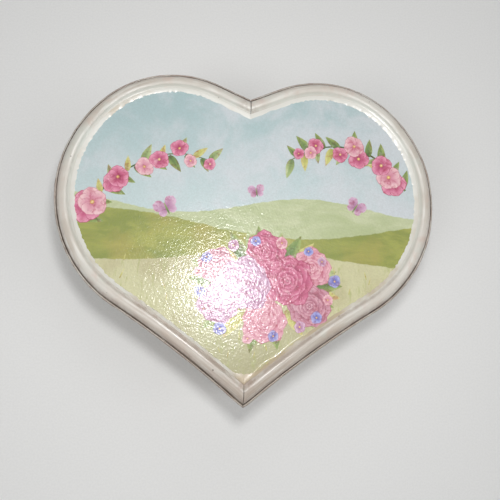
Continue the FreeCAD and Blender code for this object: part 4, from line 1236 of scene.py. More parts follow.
@dataclass
class Brush:
    """Paints the print's flowers and leaves as thin shapes that lie on its ground."""

    ground: float
    step: float = 0.004 * MM
    lift: float = 33.0
    seed: int = 11
    ring_rise: float = 0.03
    stock: dict[Stencil, list[Piece]] = field(default_factory=dict)
    shapes: list[Piece] = field(default_factory=list)

    def __post_init__(self) -> None:
        """Starts the brush with a steady hand."""
        self.chance = random.Random(self.seed)
        self.layer = 1

    @staticmethod
    def leaf(tone: Tone, width: float, notch: float, veins: float, fold: float = 0.0) -> Piece:
        """Makes one petal or leaf, a unit long, from its base at the origin along +Y.

        Args:
            tone: Its colours.
            width: Its greatest half width.
            notch: How far its tip is drawn in or, below 0, drawn out to a point.
            veins: How strongly its two halves differ.
            fold: How far along it the next ring of petals ends, where its shading starts.

        Returns:
            The shape, flat on its own ground.
        """
        fullest, blunt = (0.72, 0.9) if notch < 0.0 else (1.45, 0.62)
        bpy.ops.mesh.primitive_grid_add(x_subdivisions=4, y_subdivisions=7, size=1.0)
        shape = added("leaf")
        for vertex in shape.data.vertices:
            side, way = vertex.co.x * 2.0, vertex.co.y + 0.5
            full = math.sin(math.pi * (0.06 + 0.94 * way) ** fullest) if way < 1.0 else 0.0
            reach = way - max(notch, 0.0) * way ** 4 * (1.0 - side * side)
            vertex.co = Vector((side * width * max(full, 0.0) ** blunt, reach, 0.0))

        def shade(place: Vector) -> Colour:
            """Returns the colour at a place on the shape."""
            outer = 0.72 * (place.y - fold) / (1.0 - fold) + 0.3 * (1.0 - fold) * abs(place.x) / width
            return tone.at(min(1.0, max(0.0, 0.12 + outer + veins * (1.0 if place.x > 0.0 else -0.4))))

        tinted(shape, shade)
        return shape

    def flower(self, tone: Tone, rings: Sequence[tuple[int, float, float]], heart: Tone, eye: float) -> Piece:
        """Makes one open flower, a unit in radius.

        Args:
            tone: Its petals' colours.
            rings: Each ring of petals from the outside in: their number, length and half width.
            heart: The colours of its middle.
            eye: Its middle's radius.

        Returns:
            The flower.
        """
        petals: list[Piece] = []
        dark = blended(tone.at(0.0), tone.at(0.5), 0.75)
        under = Matrix.Translation((0.0, 0.0, -0.0015))
        for level, (count, length, width) in enumerate(rings):
            inner = rings[level + 1][1] if level + 1 < len(rings) else 0.0
            petal = self.leaf(tone, width / length, 0.12, 0.05, 0.8 * inner / length)
            shade = copied(petal, "shade")
            tinted(shade, lambda _: dark)
            for index in range(count):
                turn = Matrix.Rotation(math.tau * (index + 0.5 * level) / count + 0.3 * level, 4, "Z")
                place = Matrix.Translation((0.0, 0.0, self.ring_rise * level + 0.003 * index)) @ turn
                lean = 1.0 - 0.07 * ((index * 7 + level * 3) % 3)
                size = Matrix.Diagonal((length, length * lean, 1.0, 1.0))
                petals.append(copied(petal, "petal", place @ size))
                size = Matrix.Diagonal((length * 1.07, length * lean * 1.035, 1.0, 1.0))
                petals.append(copied(shade, "petal", under @ place @ size))
            for shape in (petal, shade):
                bpy.data.objects.remove(shape)
        bpy.ops.mesh.primitive_circle_add(vertices=12, radius=eye, fill_type="TRIFAN")
        middle = added("flower_middle")
        middle.data.transform(Matrix.Translation((0.0, 0.0, self.ring_rise * len(rings))))
        tinted(middle, lambda place: heart.at(1.0 - min(1.0, place.xy.length / eye)))
        return joined("flower", petals + [middle])

    def prepare(self) -> None:
        """Makes every flower, leaf and wing that is copied on to the print, one in each of its colours."""
        full = ((8, 1.0, 0.38), (7, 0.82, 0.34), (6, 0.62, 0.3), (5, 0.44, 0.25), (4, 0.28, 0.18),
                (3, 0.15, 0.1))
        five = ((5, 1.0, 0.5),)
        makers: dict[Stencil, Callable[[Tone], Piece]] = {
            Stencil.LEAF: lambda tone: self.leaf(tone, 0.2, -0.1, 0.14),
            Stencil.BLOOM: lambda tone: self.flower(tone, full, tone, 0.05),
            Stencil.FIVE: lambda tone: self.flower(tone, five, Tone.BUTTER, 0.14),
            Stencil.SMALL: lambda tone: self.flower(tone, five, Tone.BUTTER, 0.16),
            Stencil.BLADE: lambda tone: self.leaf(tone, 0.06, -0.1, 0.1),
            Stencil.WING: lambda tone: self.leaf(tone, 0.42, 0.05, 0.0),
            Stencil.INSECT: lambda tone: self.leaf(tone, 0.07, -0.1, 0.0)}
        self.stock = {stencil: [make(tone) for tone in stencil.value] for stencil, make in makers.items()}

    def clear(self) -> None:
        """Throws away the shapes in stock."""
        for shapes in self.stock.values():
            for shape in shapes:
                bpy.data.objects.remove(shape)

    def lay(self, stencil: Stencil, index: int, x: float, y: float, size: float, turn: float, layers: int = 1,
            weave: int = 0) -> None:
        """Lays a copy of a shape in stock on the print, over all that lies there.

        Args:
            stencil: What the shape is in stock as.
            index: Which one of those it is, counted round and round.
            x: Its place across the print, in millimetres.
            y: Its place up the print, in millimetres.
            size: Its length or radius, in millimetres.
            turn: Its turn from straight up, in degrees, to the left.
            layers: How many layers of paint it takes up.
            weave: Where it isn't 0, the shape lies on that layer of its group, and takes up none.
        """
        shapes = self.stock[stencil]
        height = self.ground + (self.layer + weave) * self.step
        self.layer += 0 if weave else layers
        move = (Matrix.Translation((x * MM, y * MM, height)) @ Matrix.Rotation(math.radians(turn), 4, "Z")
                @ Matrix.Diagonal((size * MM, size * MM, self.step * self.lift, 1.0)))
        self.shapes.append(copied(shapes[index % len(shapes)], "laid", move))

    def stem(self, places: Sequence[Place], width: float, tone: Tone) -> None:
        """Draws a stem.

        Args:
            places: Where it passes, in millimetres, from its thick end.
            width: Its width at that end, in millimetres.
            tone: Its colours.
        """
        shape = drawn("laid", places, width * MM, lambda index: 1.0 - 0.6 * index / (len(places) - 1), 8, 1,
                      False)
        shape.data.transform(Matrix.Translation((0.0, 0.0, self.ground + self.layer * self.step))
                             @ Matrix.Diagonal((1.0, 1.0, 0.004, 1.0)))
        self.layer += 1
        tinted(shape, lambda place: tone.at(0.35 + 0.25 * math.sin(place.x * 900.0)))
        self.shapes.append(shape)

    def gathered(self, name: str) -> Piece:
        """Joins all that was laid since the last time into one piece.

        Args:
            name: The piece's name.

        Returns:
            The piece.
        """
        piece = joined(name, self.shapes)
        self.shapes = []
        self.layer = 1
        return piece


@dataclass
class Picture:
    """The varnished print in the lid: a meadow under hills, with a posy and two flowering sprays."""

    outline: HeartOutline
    wash: Finish
    motif: Finish
    edge: Finish
    # The varnish run's finish, a painted highlight.
    gloss: Finish
    inset: float = 5.1 * MM
    bottom: float = 57.9 * MM
    top: float = 58.2 * MM
    lip_start: float = 8.6 * MM
    lip_width: float = 1.5 * MM
    lip_rise: float = 1.04 * MM
    lip_edge: float = 0.012 * MM
    lip_foot: float = 0.004 * MM
    run_width: float = 0.5 * MM
    run_rise: float = 0.16
    run_places: tuple[Place, ...] = (
        (4.5, -65.7), (9.5, -61.0), (15.7, -57.3), (19.2, -54.1), (23.1, -50.9), (28.0, -47.7))
    spray_flowers: int = 9
    posy_middle: Place = (9.0, -25.0)
    posy_leaves: int = 26
    posy_small: int = 16
    posy_blooms: tuple[tuple[float, float, float], ...] = (
        (-14.0, -16.0, 10.0), (32.0, -15.0, 10.5), (9.0, -8.0, 11.0), (-13.0, -33.0, 11.0),
        (31.0, -34.0, 11.5), (9.0, -41.0, 12.0), (20.0, -22.0, 13.5), (-1.0, -24.0, 14.0))
    blades: int = 70
    bare_edge: float = 12.0 * MM
    sprays: tuple[tuple[tuple[Place, ...], Place], ...] = (
        (((-80.0, 4.0), (-70.0, 22.0), (-55.0, 34.0), (-36.0, 40.0), (-18.0, 37.0)), (3.6, 7.5)),
        (((80.0, 26.0), (68.0, 40.0), (52.0, 47.0), (34.0, 46.0), (20.0, 39.0)), (3.4, 7.0)))
    butterflies: tuple[tuple[float, float, float, float], ...] = (
        (-40.0, 12.0, 7.0, 28.0), (54.0, 16.0, 6.0, -34.0), (4.0, 22.0, 5.0, 12.0))

    @staticmethod
    def along(stem: Sequence[Place], share: float) -> tuple[float, float, float]:
        """Finds a place on a stem.

        Args:
            stem: The stem's places.
            share: How far along it the place lies, from 0 to 1.

        Returns:
            The place across and up, and the stem's turn there from straight up, in degrees.
        """
        way = share * (len(stem) - 1)
        (ax, ay), (bx, by) = stem[int(way)], stem[min(int(way) + 1, len(stem) - 1)]
        part = way - int(way)
        turn = math.degrees(math.atan2(by - ay, bx - ax)) - 90.0
        return ax + (bx - ax) * part, ay + (by - ay) * part, turn

    def spray(self, brush: Brush, stem: Sequence[Place], sizes: Place) -> None:
        """Paints a flowering spray along a stem.

        Args:
            brush: What paints it.
            stem: The stem's places, in millimetres, from its thick end.
            sizes: The smallest and largest flower's radius, in millimetres.
        """
        brush.stem(stem, 1.1, Tone.LEAF)
        chance, count = brush.chance, self.spray_flowers
        for index in range(count * 2):
            x, y, turn = self.along(stem, (index + 0.5) / (count * 2))
            side = 1 if index % 2 else -1
            brush.lay(Stencil.LEAF, index, x, y, chance.uniform(7.0, 11.0),
                      turn + side * chance.uniform(35.0, 75.0), weave=1 + index % 4)
        brush.layer += 5
        for index in range(count):
            x, y, _ = self.along(stem, (index + 0.6) / count)
            x += chance.uniform(-3.5, 3.5)
            y += chance.uniform(-3.5, 3.5)
            size = sizes[1] - (sizes[1] - sizes[0]) * index / (count - 1)
            brush.lay(Stencil.FIVE, index, x, y, size * chance.uniform(0.85, 1.1),
                      chance.uniform(0.0, 360.0), 3)

    def posy(self, brush: Brush) -> None:
        """Paints the posy in the meadow: leaves, large flowers and a ring of small ones.

        Args:
            brush: What paints it.
        """
        chance, (middle_x, middle_y) = brush.chance, self.posy_middle
        for index in range(self.posy_leaves):
            turn = 360.0 * index / self.posy_leaves + chance.uniform(-6.0, 6.0)
            away = unit(turn + 90.0)
            brush.lay(Stencil.LEAF, index, middle_x + away.x * 20.0, middle_y + away.y * 13.0,
                      chance.uniform(14.0, 20.0), turn, weave=1 + index % 7)
        brush.layer += 8
        for index, (x, y, size) in enumerate(self.posy_blooms):
            brush.lay(Stencil.BLOOM, index, x, y, size, chance.uniform(0.0, 360.0), 5)
        for index in range(self.posy_small):
            away = unit(360.0 * index / self.posy_small + 8.0)
            brush.lay(Stencil.SMALL, index, middle_x + away.x * chance.uniform(31.0, 36.0),
                      middle_y + away.y * chance.uniform(22.0, 26.0), chance.uniform(2.2, 3.4),
                      chance.uniform(0.0, 360.0), weave=1 + index % 2)

    @staticmethod
    def butterfly(brush: Brush, x: float, y: float, size: float, turn: float) -> None:
        """Paints a butterfly with open wings.

        Args:
            brush: What paints it.
            x: Its place across the print, in millimetres.
            y: Its place up the print, in millimetres.
            size: An upper wing's length, in millimetres.
            turn: Its turn from straight up, in degrees, to the left.
        """
        for angle, share in ((118.0, 0.72), (-118.0, 0.72), (52.0, 1.0), (-52.0, 1.0)):
            brush.lay(Stencil.WING, 0, x, y, size * share, turn + angle)
        away = unit(turn + 90.0) * size * 0.45
        brush.lay(Stencil.INSECT, 0, x - away.x, y - away.y, size * 0.95, turn)

    def frayed(self, piece: Piece, shift: float) -> None:
        """Frays the lip's inner edge and lets it run out into a pool at the tip.

        Args:
            piece: A half of the lip.
            shift: Where its fraying starts, so that the halves differ.
        """
        for vertex in piece.data.vertices:
            way, inset, inward = self.outline.locate(vertex.co)
            share = min(max((inset - self.lip_start) / self.lip_width, 0.0), 1.0) ** 2
            from_middle = abs(vertex.co.x)
            fray = 0.3 * noise.noise(Vector((way * 230.0 + shift, shift, 0.0)))
            fray += 0.42 * noise.noise(Vector((way * 620.0, shift, 3.0)))
            broad = 0.25 * min(max((vertex.co.y + 25.0 * MM) / (40.0 * MM), -1.0), 1.0)
            free = 1.0 - bell(from_middle, 0.0, 1.5 * MM)
            pool = bell(from_middle, 0.0, 3.6 * MM) * (1.9 if vertex.co.y < 0.0 else -0.4)
            vertex.co += inward * (fray + broad) * self.lip_width * share * free
            vertex.co.y += pool * self.lip_width * share
            if vertex.co.y < 0.0:
                flat = 0.8 * bell(abs(vertex.co.x), 0.0, 4.5 * MM) * share ** 0.25
                vertex.co.z -= flat * max(0.0, vertex.co.z - self.top - self.lip_edge)

    def lip(self) -> list[Piece]:
        """Makes the ragged lip of paint that was brushed off the moulding on to the print.

        Returns:
            Its right and left half.
        """
        start, end, foot = self.lip_start, self.lip_start + self.lip_width, self.top + self.lip_foot
        section = [(start + 0.45 * MM, foot), (start, self.top + self.lip_rise)]
        section += arc(section[-1], (start + 0.4 * self.lip_width, self.top + 0.58 * self.lip_rise),
                       (end, self.top + self.lip_edge), 8)
        right = self.outline.swept("paint_lip_right", section + [(end, foot)], 0.02 * MM)
        modify(right, "SUBSURF", levels=1, subdivision_type="SIMPLE")
        left = mirrored(right, "paint_lip_left")
        for piece, shift in ((right, 0.0), (left, 7.0)):
            self.frayed(piece, shift)
            marked(piece, amber=self.stained)
            smooth(piece, 60.0)
            fitted(piece, self.edge, "lid", "cream_paint")
        return [right, left]

    @staticmethod
    def stained(place: Vector) -> float:
        """Finds how far the lip is stained at a place: most along the lower right and at the tip.

        Args:
            place: The place.

        Returns:
            The stain, from 0 to 1.
        """
        side = bell(place.y, -45.0 * MM, 25.0 * MM) * (1.0 if place.x > 4.0 * MM else 0.25)
        tip = 0.7 * bell(abs(place.x), 0.0, 6.0 * MM) if place.y < 0.0 else 0.0
        return min(1.0, side + tip)

    def varnish_run(self) -> Piece:
        """Makes the run where varnish pooled along the lower right edge and dried with a round border,
        painted pale as a highlight.

        Returns:
            The run.
        """
        count = len(self.run_places)
        run = drawn("varnish_run", self.run_places, self.run_width,
                    lambda index: 0.35 + 0.65 * math.sin(math.pi * (index + 0.6) / (count + 0.2)), 10, 4,
                    True)
        run.data.transform(Matrix.Translation((0.0, 0.0, self.top + 0.01 * MM))
                           @ Matrix.Diagonal((1.0, 1.0, self.run_rise, 1.0)))
        smooth(run, 70.0)
        # The run's pale colour is a painted highlight.
        return fitted(run, self.gloss, "lid", "picture")

    def build(self) -> list[Piece]:
        """Makes the print, paints it and lays the lip and the run of varnish on it.

        Returns:
            The pieces.
        """
        ground = self.outline.slab("picture_print_dressed", self.inset, self.bottom, self.top)
        pieces = [fitted(ground, self.wash, "lid", "picture", "picture_print")]
        brush = Brush(self.top)
        brush.prepare()
        chance = brush.chance

        def ended(name: str) -> None:
            """Ends a group of painted shapes as one piece."""
            pieces.append(fitted(brush.gathered(name), self.motif, "lid", "picture"))

        for index in range(self.blades):
            x, y = chance.uniform(-74.0, 74.0), chance.uniform(-62.0, -14.0)
            if self.outline.inset(Vector((x * MM, y * MM, 0.0))) > self.bare_edge:
                brush.lay(Stencil.BLADE, 0, x, y, chance.uniform(3.0, 6.5), chance.uniform(-24.0, 24.0),
                          weave=1 + index % 8)
        ended("picture_grass")
        for stem, sizes in self.sprays:
            self.spray(brush, stem, sizes)
        ended("picture_sprays")
        self.posy(brush)
        ended("picture_posy")
        for butterfly in self.butterflies:
            self.butterfly(brush, *butterfly)
        ended("picture_butterflies")
        brush.clear()
        return pieces + self.lip() + [self.varnish_run()]


@dataclass
class HingeSeat:
    """The room for a butt hinge at the top of each lobe."""

    middle: float = 37.25 * MM
    length: float = 18.2 * MM
    axis_y: float = 81.353 * MM
    axis_z: float = 46.15 * MM
    leaf_back: float = 75.053 * MM
    leaf_thick: float = 1.15 * MM
    overlap: float = 0.4 * MM
    barrel: float = 1.9 * MM
    reach: float = 10.0 * MM

    def cut_from(self, piece: Piece, up: bool) -> None:
        """Cuts the leaf's mortise and the barrel's notch from the right-hand piece.

        Args:
            piece: The wall or rim.
            up: Whether the leaf lies above the hinge's axis.
        """
        below, above = (self.overlap, self.leaf_thick) if up else (self.leaf_thick, self.overlap)
        for front, low, high in ((self.leaf_back, below, above),
                                 (self.axis_y - self.barrel, self.barrel, self.barrel)):
            cut_box(piece, (self.middle - self.length / 2, front, self.axis_z - low),
                    (self.middle + self.length / 2, self.axis_y + self.reach, self.axis_z + high))


@dataclass
class Case:
    """The box's walls, its boards, the lid's rim and the felt feet, with places and lines in millimetres."""

    outline: HeartOutline
    paint: Finish
    board: Finish
    felt: Finish
    seat: HingeSeat
    outer: float = 1.2 * MM
    inner: float = 7.2 * MM
    foot: float = 1.5 * MM
    wall_top: float = 46.0 * MM
    wall_lines: tuple[float, ...] = (3.0, 4.5, 7.0, 15.0, 30.0)
    top_lines: Place = (42.0, 44.0)
    dado: float = 2.0 * MM
    floor_low: float = 17.0 * MM
    floor_high: float = 21.0 * MM
    rim_low: float = 46.3 * MM
    rim_high: float = 54.3 * MM
    rim_lines: tuple[float, ...] = (47.6, 48.6, 51.0)
    ease: float = 0.6 * MM
    pad_radius: float = 2.8 * MM
    pad_places: tuple[Place, ...] = ((39.015, 78.443), (90.403, 14.045), (11.287, -66.671))

    def corner(self, inset: float, height: float, across: int, up: int) -> Section:
        """Eases one corner of a section.

        Args:
            inset: The sharp corner's inset.
            height: Its height.
            across: 1 where the corner points inwards, -1 where it points outwards.
            up: 1 where it points up, -1 where it points down.

        Returns:
            The eased corner, from its upright face to its level one.
        """
        start, end = (inset, height - up * self.ease), (inset - across * self.ease, height)
        bow = self.ease * (1.0 - math.sqrt(0.5))
        return [start] + arc(start, (inset - across * bow, height - up * bow), end, 4)

    def wall_section(self) -> Section:
        """Draws the wall's section, grooved for the floor.

        Returns:
            The closed section, as inset and height.
        """
        bed = self.inner - self.dado
        face = [(self.outer, height * MM) for height in (*self.wall_lines, *self.top_lines)]
        top = self.corner(self.outer, self.wall_top, -1, 1)
        top += self.corner(self.inner, self.wall_top, 1, 1)[::-1]
        back = [(self.inner, height * MM) for height in reversed(self.top_lines)]
        groove = [(self.inner, self.floor_high), (bed, self.floor_high), (bed, self.floor_low),
                  (self.inner, self.floor_low)]
        return (self.corner(self.outer, self.foot, -1, -1)[::-1] + face + top + back + groove
                + self.corner(self.inner, self.foot, 1, -1))

    def rim_section(self) -> Section:
        """Draws the lid rim's section.

        Returns:
            The closed section, as inset and height.
        """
        face = [(self.outer, height * MM) for height in self.rim_lines]
        top = [(self.outer, self.rim_high), (self.inner, self.rim_high), (self.inner, self.rim_lines[1] * MM)]
        return (self.corner(self.outer, self.rim_low, -1, -1)[::-1] + face + top
                + self.corner(self.inner, self.rim_low, 1, -1))

    def wear(self, place: Vector) -> float:
        """Finds how far the paint is rubbed at a place on the walls.

        Args:
            place: The place.

        Returns:
            The wear, from 0 to 1.
        """
        edges = bell(place.z, self.wall_top, 0.7 * MM) + bell(place.z, self.rim_low, 0.7 * MM)
        edges *= 1.0 if self.outline.inset(place) < 2.5 * MM else 0.4
        corners = bell(abs(place.x), 0.0, 1.5 * MM)
        return min(1.0, 0.5 * bell(place.z, self.foot, 1.6 * MM) + 0.6 * edges + 0.7 * corners)

    def shell(self, name: str, section: Section, up: bool, body: str) -> list[Piece]:
        """Makes a wall or rim in two halves.

        Args:
            name: The solids' name without its side.
            section: Its section.
            up: Whether the hinge's leaf lies above the axis.
            body: The body that it moves with.

        Returns:
            The right-hand and the left-hand piece.
        """
        right = self.outline.swept(name + "_right_dressed", section)
        self.seat.cut_from(right, up)
        marked(right, along=self.outline.way, across=lambda place: place.z + 0.6 * self.outline.inset(place),
               wear=self.wear)
        left = mirrored(right, name + "_left_dressed")
        for piece, side in ((right, "_right"), (left, "_left")):
            smooth(piece, 32.0)
            fitted(piece, self.paint, body, "cream_paint", name + side)
        return [right, left]

    def feet(self) -> Piece:
        """Makes the felt feet: one rounded pad, copied to its places.

        Returns:
            The feet.
        """
        low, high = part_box("felt_pads")
        bpy.ops.mesh.primitive_circle_add(vertices=40, radius=self.pad_radius, fill_type="NGON")
        pad = added("felt_pad")
        with editing(pad):
            extrude((0.0, 0.0, high.z - low.z))
            face_out()
        rounded(pad, 0.45 * MM, 3, 50.0)
        pads = [copied(pad, "felt_pad_copy", Matrix.Translation((side * x * MM, y * MM, low.z)))
                for x, y in self.pad_places for side in (-1.0, 1.0)]
        bpy.data.objects.remove(pad)
        feet = joined("felt_feet", pads)
        smooth(feet, 60.0)
        return fitted(feet, self.felt, "box", "felt", "felt_pads")

    def build(self) -> list[Piece]:
        """Makes the case.

        Returns:
            The pieces.
        """
        pieces = self.shell("box_wall", self.wall_section(), False, "box")
        pieces += self.shell("lid_rim", self.rim_section(), True, "lid")
        pieces.append(self.feet())
        boards = [frame["nodes"][node] for node in ("floor_panel", "lid_panel")]
        for board in boards:
            self.board.on(board)
        return pieces + boards


@dataclass
class Linings:
    """The velvet in the box and the lid, and the bevelled mirror."""

    outline: HeartOutline
    velvet: Finish
    glass: Finish
    wall_inset: float = 7.3 * MM
    wall_thick: float = 0.9 * MM
    wall_steps: int = 7
    inner_tip: float = -73.0 * MM
    floor_inset: float = 8.3 * MM
    cover_margin: float = 0.3 * MM
    cover_reach: float = 10.0 * MM
    edge_round: float = 0.3 * MM
    mirror_inset: float = 17.0 * MM
    mirror_bevel: float = 0.9 * MM
    ruck: float = 0.08 * MM
    ruck_scale: float = 90.0

    def softened(self, piece: Piece) -> None:
        """Lets the cloth lie a little unevenly, within its thickness.

        Args:
            piece: The cloth.
        """
        for vertex in piece.data.vertices:
            lift = noise.noise(vertex.co * self.ruck_scale) * self.ruck
            vertex.co += vertex.normal * (lift - self.ruck * 0.6)

    def walls(self) -> list[Piece]:
        """Lines the walls, with a rolled upper edge.

        Returns:
            The right-hand and the left-hand lining.
        """
        low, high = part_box("wall_lining_right")
        outer, inner, roll = self.wall_inset, self.wall_inset + self.wall_thick, self.wall_thick / 2
        brow = high.z - roll
        section = [(outer, low.z), (outer, brow)]
        section += arc((outer, brow), (outer + roll, high.z), (inner, brow), 8)
        section += [(inner, low.z + (brow - low.z) * (1.0 - step / self.wall_steps))
                    for step in range(1, self.wall_steps + 1)]
        right = self.outline.swept("wall_lining_right_dressed", section)
        self.softened(right)
        left = mirrored(right, "wall_lining_left_dressed")
        length = self.outline.way(Vector((0.0, self.inner_tip, 0.0)))
        for piece, side in ((right, "right"), (left, "left")):
            smooth(piece, 50.0)
            fitted(piece, self.velvet, "box", "velvet", f"wall_lining_{side}")
        return [right, left]

    def board_cover(self, node: str, inset: float, body: str, hole: str | None = None) -> Piece:
        """Covers a board with velvet.

        Args:
            node: The solid that it stands for.
            inset: Its edge's inset.
            body: The body that it moves with.
            hole: The solid that it is cut out around.

        Returns:
            The velvet.
        """
        low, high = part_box(node)
        piece = self.outline.slab(node + "_dressed", inset, low.z, high.z)
        if hole is not None:
            spare = Vector((self.cover_margin, self.cover_margin, 0.0))
            near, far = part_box(hole)
            near.z, far.z = low.z - self.cover_reach, low.z + self.cover_reach
            cut_box(piece, near - spare, far + spare)
        rounded(piece, self.edge_round, 3, 60.0)
        with editing(piece):
            bpy.ops.mesh.quads_convert_to_tris()
        smooth(piece, 60.0)
        return fitted(piece, self.velvet, body, "velvet", node)

    def mirror(self) -> Piece:
        """Makes the mirror, with its bevel facing down into the box.

        Returns:
            The mirror.
        """
        low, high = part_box("lid_mirror")
        glass = self.outline.slab("lid_mirror_dressed", self.mirror_inset, low.z, high.z)
        with editing(glass):
            bpy.ops.mesh.select_mode(type="FACE")
            bpy.ops.mesh.select_all(action="DESELECT")
            mesh = bmesh.from_edit_mesh(glass.data)
            for face in mesh.faces:
                face.select_set(face.normal.z < -0.9)
            bmesh.update_edit_mesh(glass.data)
            bpy.ops.mesh.inset(thickness=self.mirror_bevel, depth=0.0)
            mesh = bmesh.from_edit_mesh(glass.data)
            rim = {vertex for vertex in mesh.verts if vertex.co.z < low.z + 1e-6}
            rim -= {vertex for face in mesh.faces if face.select for vertex in face.verts}
            for vertex in rim:
                vertex.co.z += self.mirror_bevel
            bmesh.update_edit_mesh(glass.data)
        smooth(glass, 30.0)
        return fitted(glass, self.glass, "lid", "mirror_glass", "lid_mirror")

    def build(self) -> list[Piece]:
        """Lines the box and the lid.

        Returns:
            The pieces.
        """
        return self.walls() + [
            self.board_cover("floor_lining", self.floor_inset, "box", "movement_cover"),
            self.board_cover("lid_lining", self.wall_inset, "lid"), self.mirror()]


@dataclass
class Works:
    """The hinges, the movement and the key, each machined from its solid, with eases in millimetres."""

    finishes: dict[str, Finish]
    eased: dict[str, float] = field(default_factory=lambda: {
        "hinge_box_leaves": 0.12, "hinge_lid_leaves": 0.12, "hinge_pins": 0.1, "hinge_box_screws": 0.08,
        "hinge_lid_screws": 0.08, "movement_bedplate": 0.22, "spring_housing": 0.2, "mainspring": 0.0,
        "winding_arbor": 0.15, "winding_key": 0.4, "ratchet_wheel": 0.05, "great_wheel": 0.05,
        "ratchet_click": 0.1, "music_cylinder": 0.04, "cylinder_arbor": 0.1, "cylinder_pinion": 0.05,
        "cylinder_gear": 0.04, "governor_arbor": 0.04, "worm_wheel": 0.05, "fan_worm": 0.04,
        "governor_frame": 0.12, "frame_screw": 0.12, "music_comb": 0.05, "comb_screws": 0.15,
        "fixing_screws": 0.2, "lever_pivot": 0.12, "stop_lever": 0.1, "stop_wire": 0.1, "wire_cap": 0.15,
        "movement_cover": 0.15})

    def machined(self, node: str, ease: float) -> Piece:
        """Copies a solid, makes its faces whole and eases its edges.

        Args:
            node: The solid.
            ease: How far its edges are eased, in millimetres.

        Returns:
            The piece that stands for it.
        """
        record = frame["record"]
        slot = next(part["material_slot"] for part in record["subparts"] if part["node"] == node)
        body = next(body for body, nodes in record["behaviour"]["bodies"].items() if node in nodes)
        piece = copied(frame["nodes"][node], node + "_dressed")
        with editing(piece):
            bpy.ops.mesh.remove_doubles(threshold=2e-6)
            bpy.ops.mesh.dissolve_limited(angle_limit=math.radians(0.4))
        if ease > 0.0:
            rounded(piece, ease * MM, 2, 38.0, use_clamp_overlap=True, miter_outer="MITER_ARC")
        smooth(piece, 34.0)
        return fitted(piece, self.finishes[slot], body, slot, node)

    def build(self) -> list[Piece]:
        """Returns every piece of the works, machined."""
        return [self.machined(node, ease) for node, ease in self.eased.items()]


@dataclass
class Lamp:
    """A soft white studio lamp."""

    name: str
    place: tuple[float, float, float]
    aim: tuple[float, float, float]
    size: float
    power: float

    def hang(self) -> None:
        """Hangs the lamp and turns it to what it lights."""
        light = bpy.data.lights.new(self.name, "AREA")
        light.shape = "DISK"
        light.size = self.size
        light.energy = self.power
        lamp = bpy.data.objects.new(self.name, light)
        bpy.context.scene.collection.objects.link(lamp)
        lamp.location = self.place
        lamp.rotation_euler = (Vector(self.aim) - Vector(self.place)).to_track_quat("-Z", "Y").to_euler()


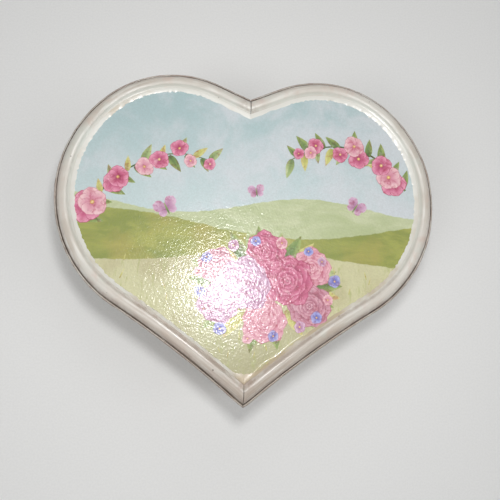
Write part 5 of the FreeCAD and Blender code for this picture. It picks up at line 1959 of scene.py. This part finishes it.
@dataclass
class Studio:
    """The pale floor, the lamps, the room's own soft light and the camera with its turn in degrees."""

    floor: StudioFloor
    floor_size: float = 60.0
    room_light: float = 0.34
    lamps: tuple[Lamp, ...] = (
        Lamp("flash", (-5.9 * MM, -3.2 * MM, 320.0 * MM), (0.0, -0.01, 0.05), 0.036, 0.36),
        Lamp("key", (-1.1, -0.9, 1.9), (0.0, 0.0, 0.04), 1.1, 11.0),
        Lamp("fill", (1.4, -0.3, 1.5), (0.0, 0.0, 0.04), 1.2, 6.0),
        Lamp("rear", (0.2, 1.5, 1.4), (0.0, 0.0, 0.04), 1.2, 3.4))
    eye: tuple[float, float, float] = (-17.56 * MM, -48.03 * MM, 313.66 * MM)
    turn: tuple[float, float, float] = (8.931, -4.463, 1.385)
    sensor: float = 36.0
    focal_pixels: float = 530.0
    frame_pixels: float = 500.0

    def lay_floor(self) -> None:
        """Lays the floor."""
        bpy.ops.mesh.primitive_grid_add(x_subdivisions=8, y_subdivisions=8, size=self.floor_size)
        paper = added("studio_floor")
        self.floor.on(paper)

    def light_room(self) -> None:
        """Lights the room softly and evenly, with the floor's backdrop behind it."""
        world = bpy.data.worlds.new("room")
        world.use_nodes = True
        bpy.context.scene.world = world
        tree = world.node_tree
        tree.nodes.clear()
        seen = add_node(tree, "Background", {"Color": self.floor.backdrop}).outputs[0]
        white = {"Color": (1.0, 1.0, 1.0, 1.0), "Strength": self.room_light}
        lit = add_node(tree, "Background", white).outputs[0]
        camera_ray = add_node(tree, "LightPath").outputs["Is Camera Ray"]
        choice = add_node(tree, "MixShader", {0: camera_ray, 1: lit, 2: seen}).outputs[0]
        add_node(tree, "OutputWorld", {"Surface": choice})

    def set_camera(self) -> None:
        """Sets the camera where the photograph was taken from."""
        view = bpy.data.cameras.new("camera")
        view.sensor_fit = "HORIZONTAL"
        view.sensor_width = self.sensor
        view.lens = self.sensor * self.focal_pixels / self.frame_pixels
        view.clip_start = 0.01
        camera = bpy.data.objects.new("camera", view)
        bpy.context.scene.collection.objects.link(camera)
        turn = Euler([math.radians(angle) for angle in self.turn])
        camera.matrix_world = Matrix.Translation(self.eye) @ turn.to_matrix().to_4x4()
        bpy.context.scene.camera = camera

    def build(self) -> None:
        """Sets up the studio."""
        self.lay_floor()
        for lamp in self.lamps:
            lamp.hang()
        self.light_room()
        self.set_camera()
        bpy.context.scene.view_settings.view_transform = "Standard"


def main() -> None:
    """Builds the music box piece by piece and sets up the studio."""
    logging.basicConfig(level=logging.INFO, format="%(message)s")
    bpy.ops.object.select_all(action="DESELECT")
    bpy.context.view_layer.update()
    outline = HeartOutline()
    cream = CreamPaint()
    metals = (
        Metal("brass", paint(214, 178, 104), paint(158, 118, 62), 0.24),
        Metal("steel", paint(204, 206, 210), paint(150, 150, 152), 0.22),
        Metal("blued_steel", paint(92, 104, 138), paint(58, 60, 76), 0.26),
        Metal("casting", paint(178, 178, 176), paint(138, 138, 134), 0.42, (700.0, 700.0, 700.0), 0.35),
        Metal("plated", paint(222, 219, 212), paint(180, 174, 162), 0.2))
    for assembly in (
            LidFrame(outline, cream),
            Picture(outline, CountryWash(), MotifPaint(), PaintEdge(), PaintedRunHighlight()),
            Case(outline, cream, BareBoard(), Felt(), HingeSeat()),
            Linings(outline, Velvet(), MirrorGlass()),
            Works({finish.name: finish for finish in (*metals, ClearPlastic(), SoftCap())})):
        for piece in assembly.build():
            log.info("%s: %d faces", piece.name, len(piece.data.polygons))
    Studio(StudioFloor()).build()


if __name__ == "__main__":
    main()
